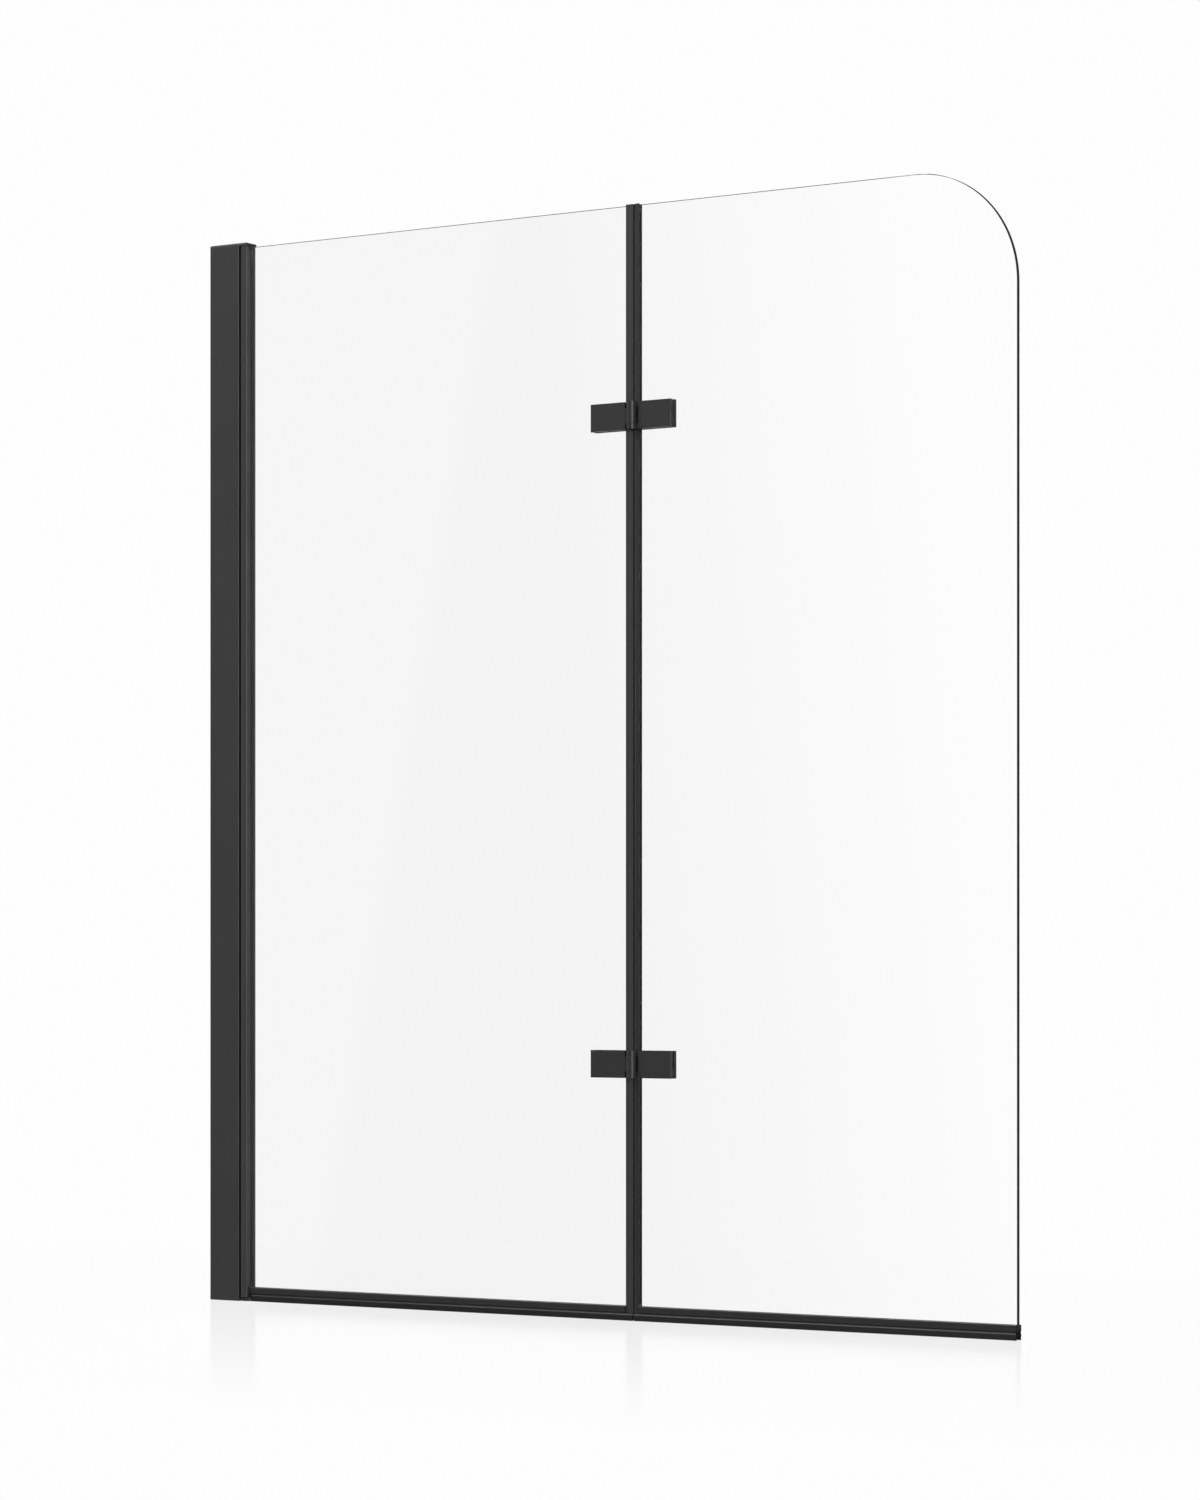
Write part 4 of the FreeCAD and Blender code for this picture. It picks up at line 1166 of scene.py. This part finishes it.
def floor_finish():
    """White floor, polished near the screen: it takes the screen's shade and its mirror image."""
    material = bpy.data.materials.new("white_studio_floor")
    material.use_nodes = True
    tree = material.node_tree
    tree.nodes.remove(tree.nodes["Principled BSDF"])
    path = add_node(tree, "ShaderNodeLightPath")
    eye = add_node(
        tree,
        "ShaderNodeMath",
        {"Value": path.outputs["Is Camera Ray"], "Value_001": path.outputs["Is Transmission Ray"]},
        operation="MAXIMUM",
    )
    reflected = add_node(
        tree,
        "ShaderNodeMath",
        {"Value": path.outputs["Glossy Depth"], "Value_001": 1.0},
        operation="MINIMUM",
    )
    place = add_node(tree, "ShaderNodeTexCoord").outputs["Object"]
    # The polish fades out beside the screen, and more quickly in front of it and behind it.
    beside, before = POLISH_REACH
    spread = add_node(
        tree,
        "ShaderNodeMapping",
        {
            "Vector": place,
            "Location": (-SCREEN_MIDDLE[0] / beside, 0.0, 0.0),
            "Scale": (1 / beside, 1 / before, 1.0),
        },
    )
    polish = add_node(
        tree,
        "ShaderNodeTexGradient",
        {"Vector": spread.outputs["Vector"]},
        gradient_type="SPHERICAL",
    )
    fade = add_node(
        tree,
        "ShaderNodeMath",
        {"Value": polish.outputs["Fac"], "Value_001": POLISH_FADE},
        operation="POWER",
    )
    share = add_node(
        tree,
        "ShaderNodeMath",
        {"Value": fade.outputs["Value"], "Value_001": POLISH_SHARE},
        operation="MULTIPLY",
    )
    chalk = add_node(tree, "ShaderNodeBsdfDiffuse", {"Color": [0.95, 0.95, 0.95, 1.0]})
    dull = add_node(tree, "ShaderNodeBsdfDiffuse", {"Color": [0.3, 0.3, 0.3, 1.0]})
    # A polished floor with facets far finer than a pixel: a mirror image that blurs with distance.
    grit = add_node(tree, "ShaderNodeTexWhiteNoise", {"Vector": place})
    facet = add_node(
        tree,
        "ShaderNodeVectorMath",
        {
            "Vector": grit.outputs["Color"],
            "Vector_001": (2 * FACET_TILT, 2 * FACET_TILT, 0.0),
            "Vector_002": (-FACET_TILT, -FACET_TILT, 1.0),
        },
        operation="MULTIPLY_ADD",
    )
    sheen = add_node(
        tree,
        "ShaderNodeBsdfGlossy",
        {"Color": [1.0, 1.0, 1.0, 1.0], "Roughness": 0.0, "Normal": facet.outputs["Vector"]},
    )
    glow = add_node(tree, "ShaderNodeEmission", {"Strength": WHITE})
    gone = add_node(tree, "ShaderNodeBsdfTransparent")
    satin = add_node(
        tree,
        "ShaderNodeMixShader",
        {"Fac": 0.73, "Shader": chalk.outputs[0], "Shader_001": sheen.outputs[0]},
    )
    bright = add_node(
        tree,
        "ShaderNodeMixShader",
        {"Fac": share.outputs["Value"], "Shader": glow.outputs[0], "Shader_001": satin.outputs[0]},
    )
    either = add_node(
        tree,
        "ShaderNodeMixShader",
        {"Fac": eye.outputs["Value"], "Shader": dull.outputs[0], "Shader_001": bright.outputs[0]},
    )
    # The panes mirror the room and not the floor.
    surface = add_node(
        tree,
        "ShaderNodeMixShader",
        {
            "Fac": reflected.outputs["Value"],
            "Shader": either.outputs[0],
            "Shader_001": gone.outputs[0],
        },
    )
    connect(tree, tree.nodes["Material Output"], {"Surface": surface.outputs[0]})
    return material


class BATHSCREEN_OT_stage(bpy.types.Operator):
    """Sets the white floor, the soft lamps, the world and the camera"""

    bl_idname = "bathscreen.stage"
    bl_label = "Studio"

    def execute(self, context):
        scene = context.scene
        bm = bmesh.new()
        bmesh.ops.create_grid(bm, x_segments=1, y_segments=1, size=FLOOR_HALF)
        mesh = bpy.data.meshes.new("studio_floor")
        bm.to_mesh(mesh)
        bm.free()
        mesh.materials.append(floor_finish())
        floor = bpy.data.objects.new("studio_floor", mesh)
        scene.collection.objects.link(floor)
        scene.world = studio_world()
        lamps = {name: add_softbox(name, *light) for name, light in SOFTBOXES.items()}
        for name in OFF_FLOOR:
            keep_off(lamps[name], floor)
        data = bpy.data.cameras.new("camera")
        data.lens = CAMERA_LENS
        data.sensor_width = CAMERA_SENSOR
        data.shift_y = CAMERA_SHIFT
        data.clip_end = CAMERA_REACH
        camera = bpy.data.objects.new("camera", data)
        camera.location = CAMERA_PLACE
        camera.rotation_euler = (math.pi / 2, 0.0, CAMERA_TURN)
        scene.collection.objects.link(camera)
        scene.camera = camera
        scene.view_settings.view_transform = "Standard"
        return {"FINISHED"}


class BATHSCREEN_PT_panel(bpy.types.Panel):
    """Lists the sizes, the colours and the steps"""

    bl_idname = "BATHSCREEN_PT_panel"
    bl_label = "Bath screen"
    bl_space_type = "VIEW_3D"
    bl_region_type = "UI"
    bl_category = "Bath screen"

    def draw(self, context):
        for group in (context.scene.bath_screen_sizes, context.scene.bath_screen_colours):
            box = self.layout.box()
            for name in group.__annotations__:
                box.prop(group, name)
        for step in STEPS:
            self.layout.operator(step.bl_idname)


STEPS = (
    BATHSCREEN_OT_panes,
    BATHSCREEN_OT_edge_seals,
    BATHSCREEN_OT_wipers,
    BATHSCREEN_OT_fittings,
    BATHSCREEN_OT_stage,
)
CLASSES = (ScreenSizes, ScreenColours, *STEPS, BATHSCREEN_PT_panel)


def register():
    for item in CLASSES:
        bpy.utils.register_class(item)
    bpy.types.Scene.bath_screen_sizes = bpy.props.PointerProperty(type=ScreenSizes)
    bpy.types.Scene.bath_screen_colours = bpy.props.PointerProperty(type=ScreenColours)


def unregister():
    del bpy.types.Scene.bath_screen_colours
    del bpy.types.Scene.bath_screen_sizes
    for item in reversed(CLASSES):
        bpy.utils.unregister_class(item)


def main():
    register()
    bpy.ops.bathscreen.panes()
    bpy.ops.bathscreen.edge_seals()
    bpy.ops.bathscreen.wipers()
    bpy.ops.bathscreen.fittings()
    bpy.ops.bathscreen.stage()


if __name__ == "__main__":
    main()
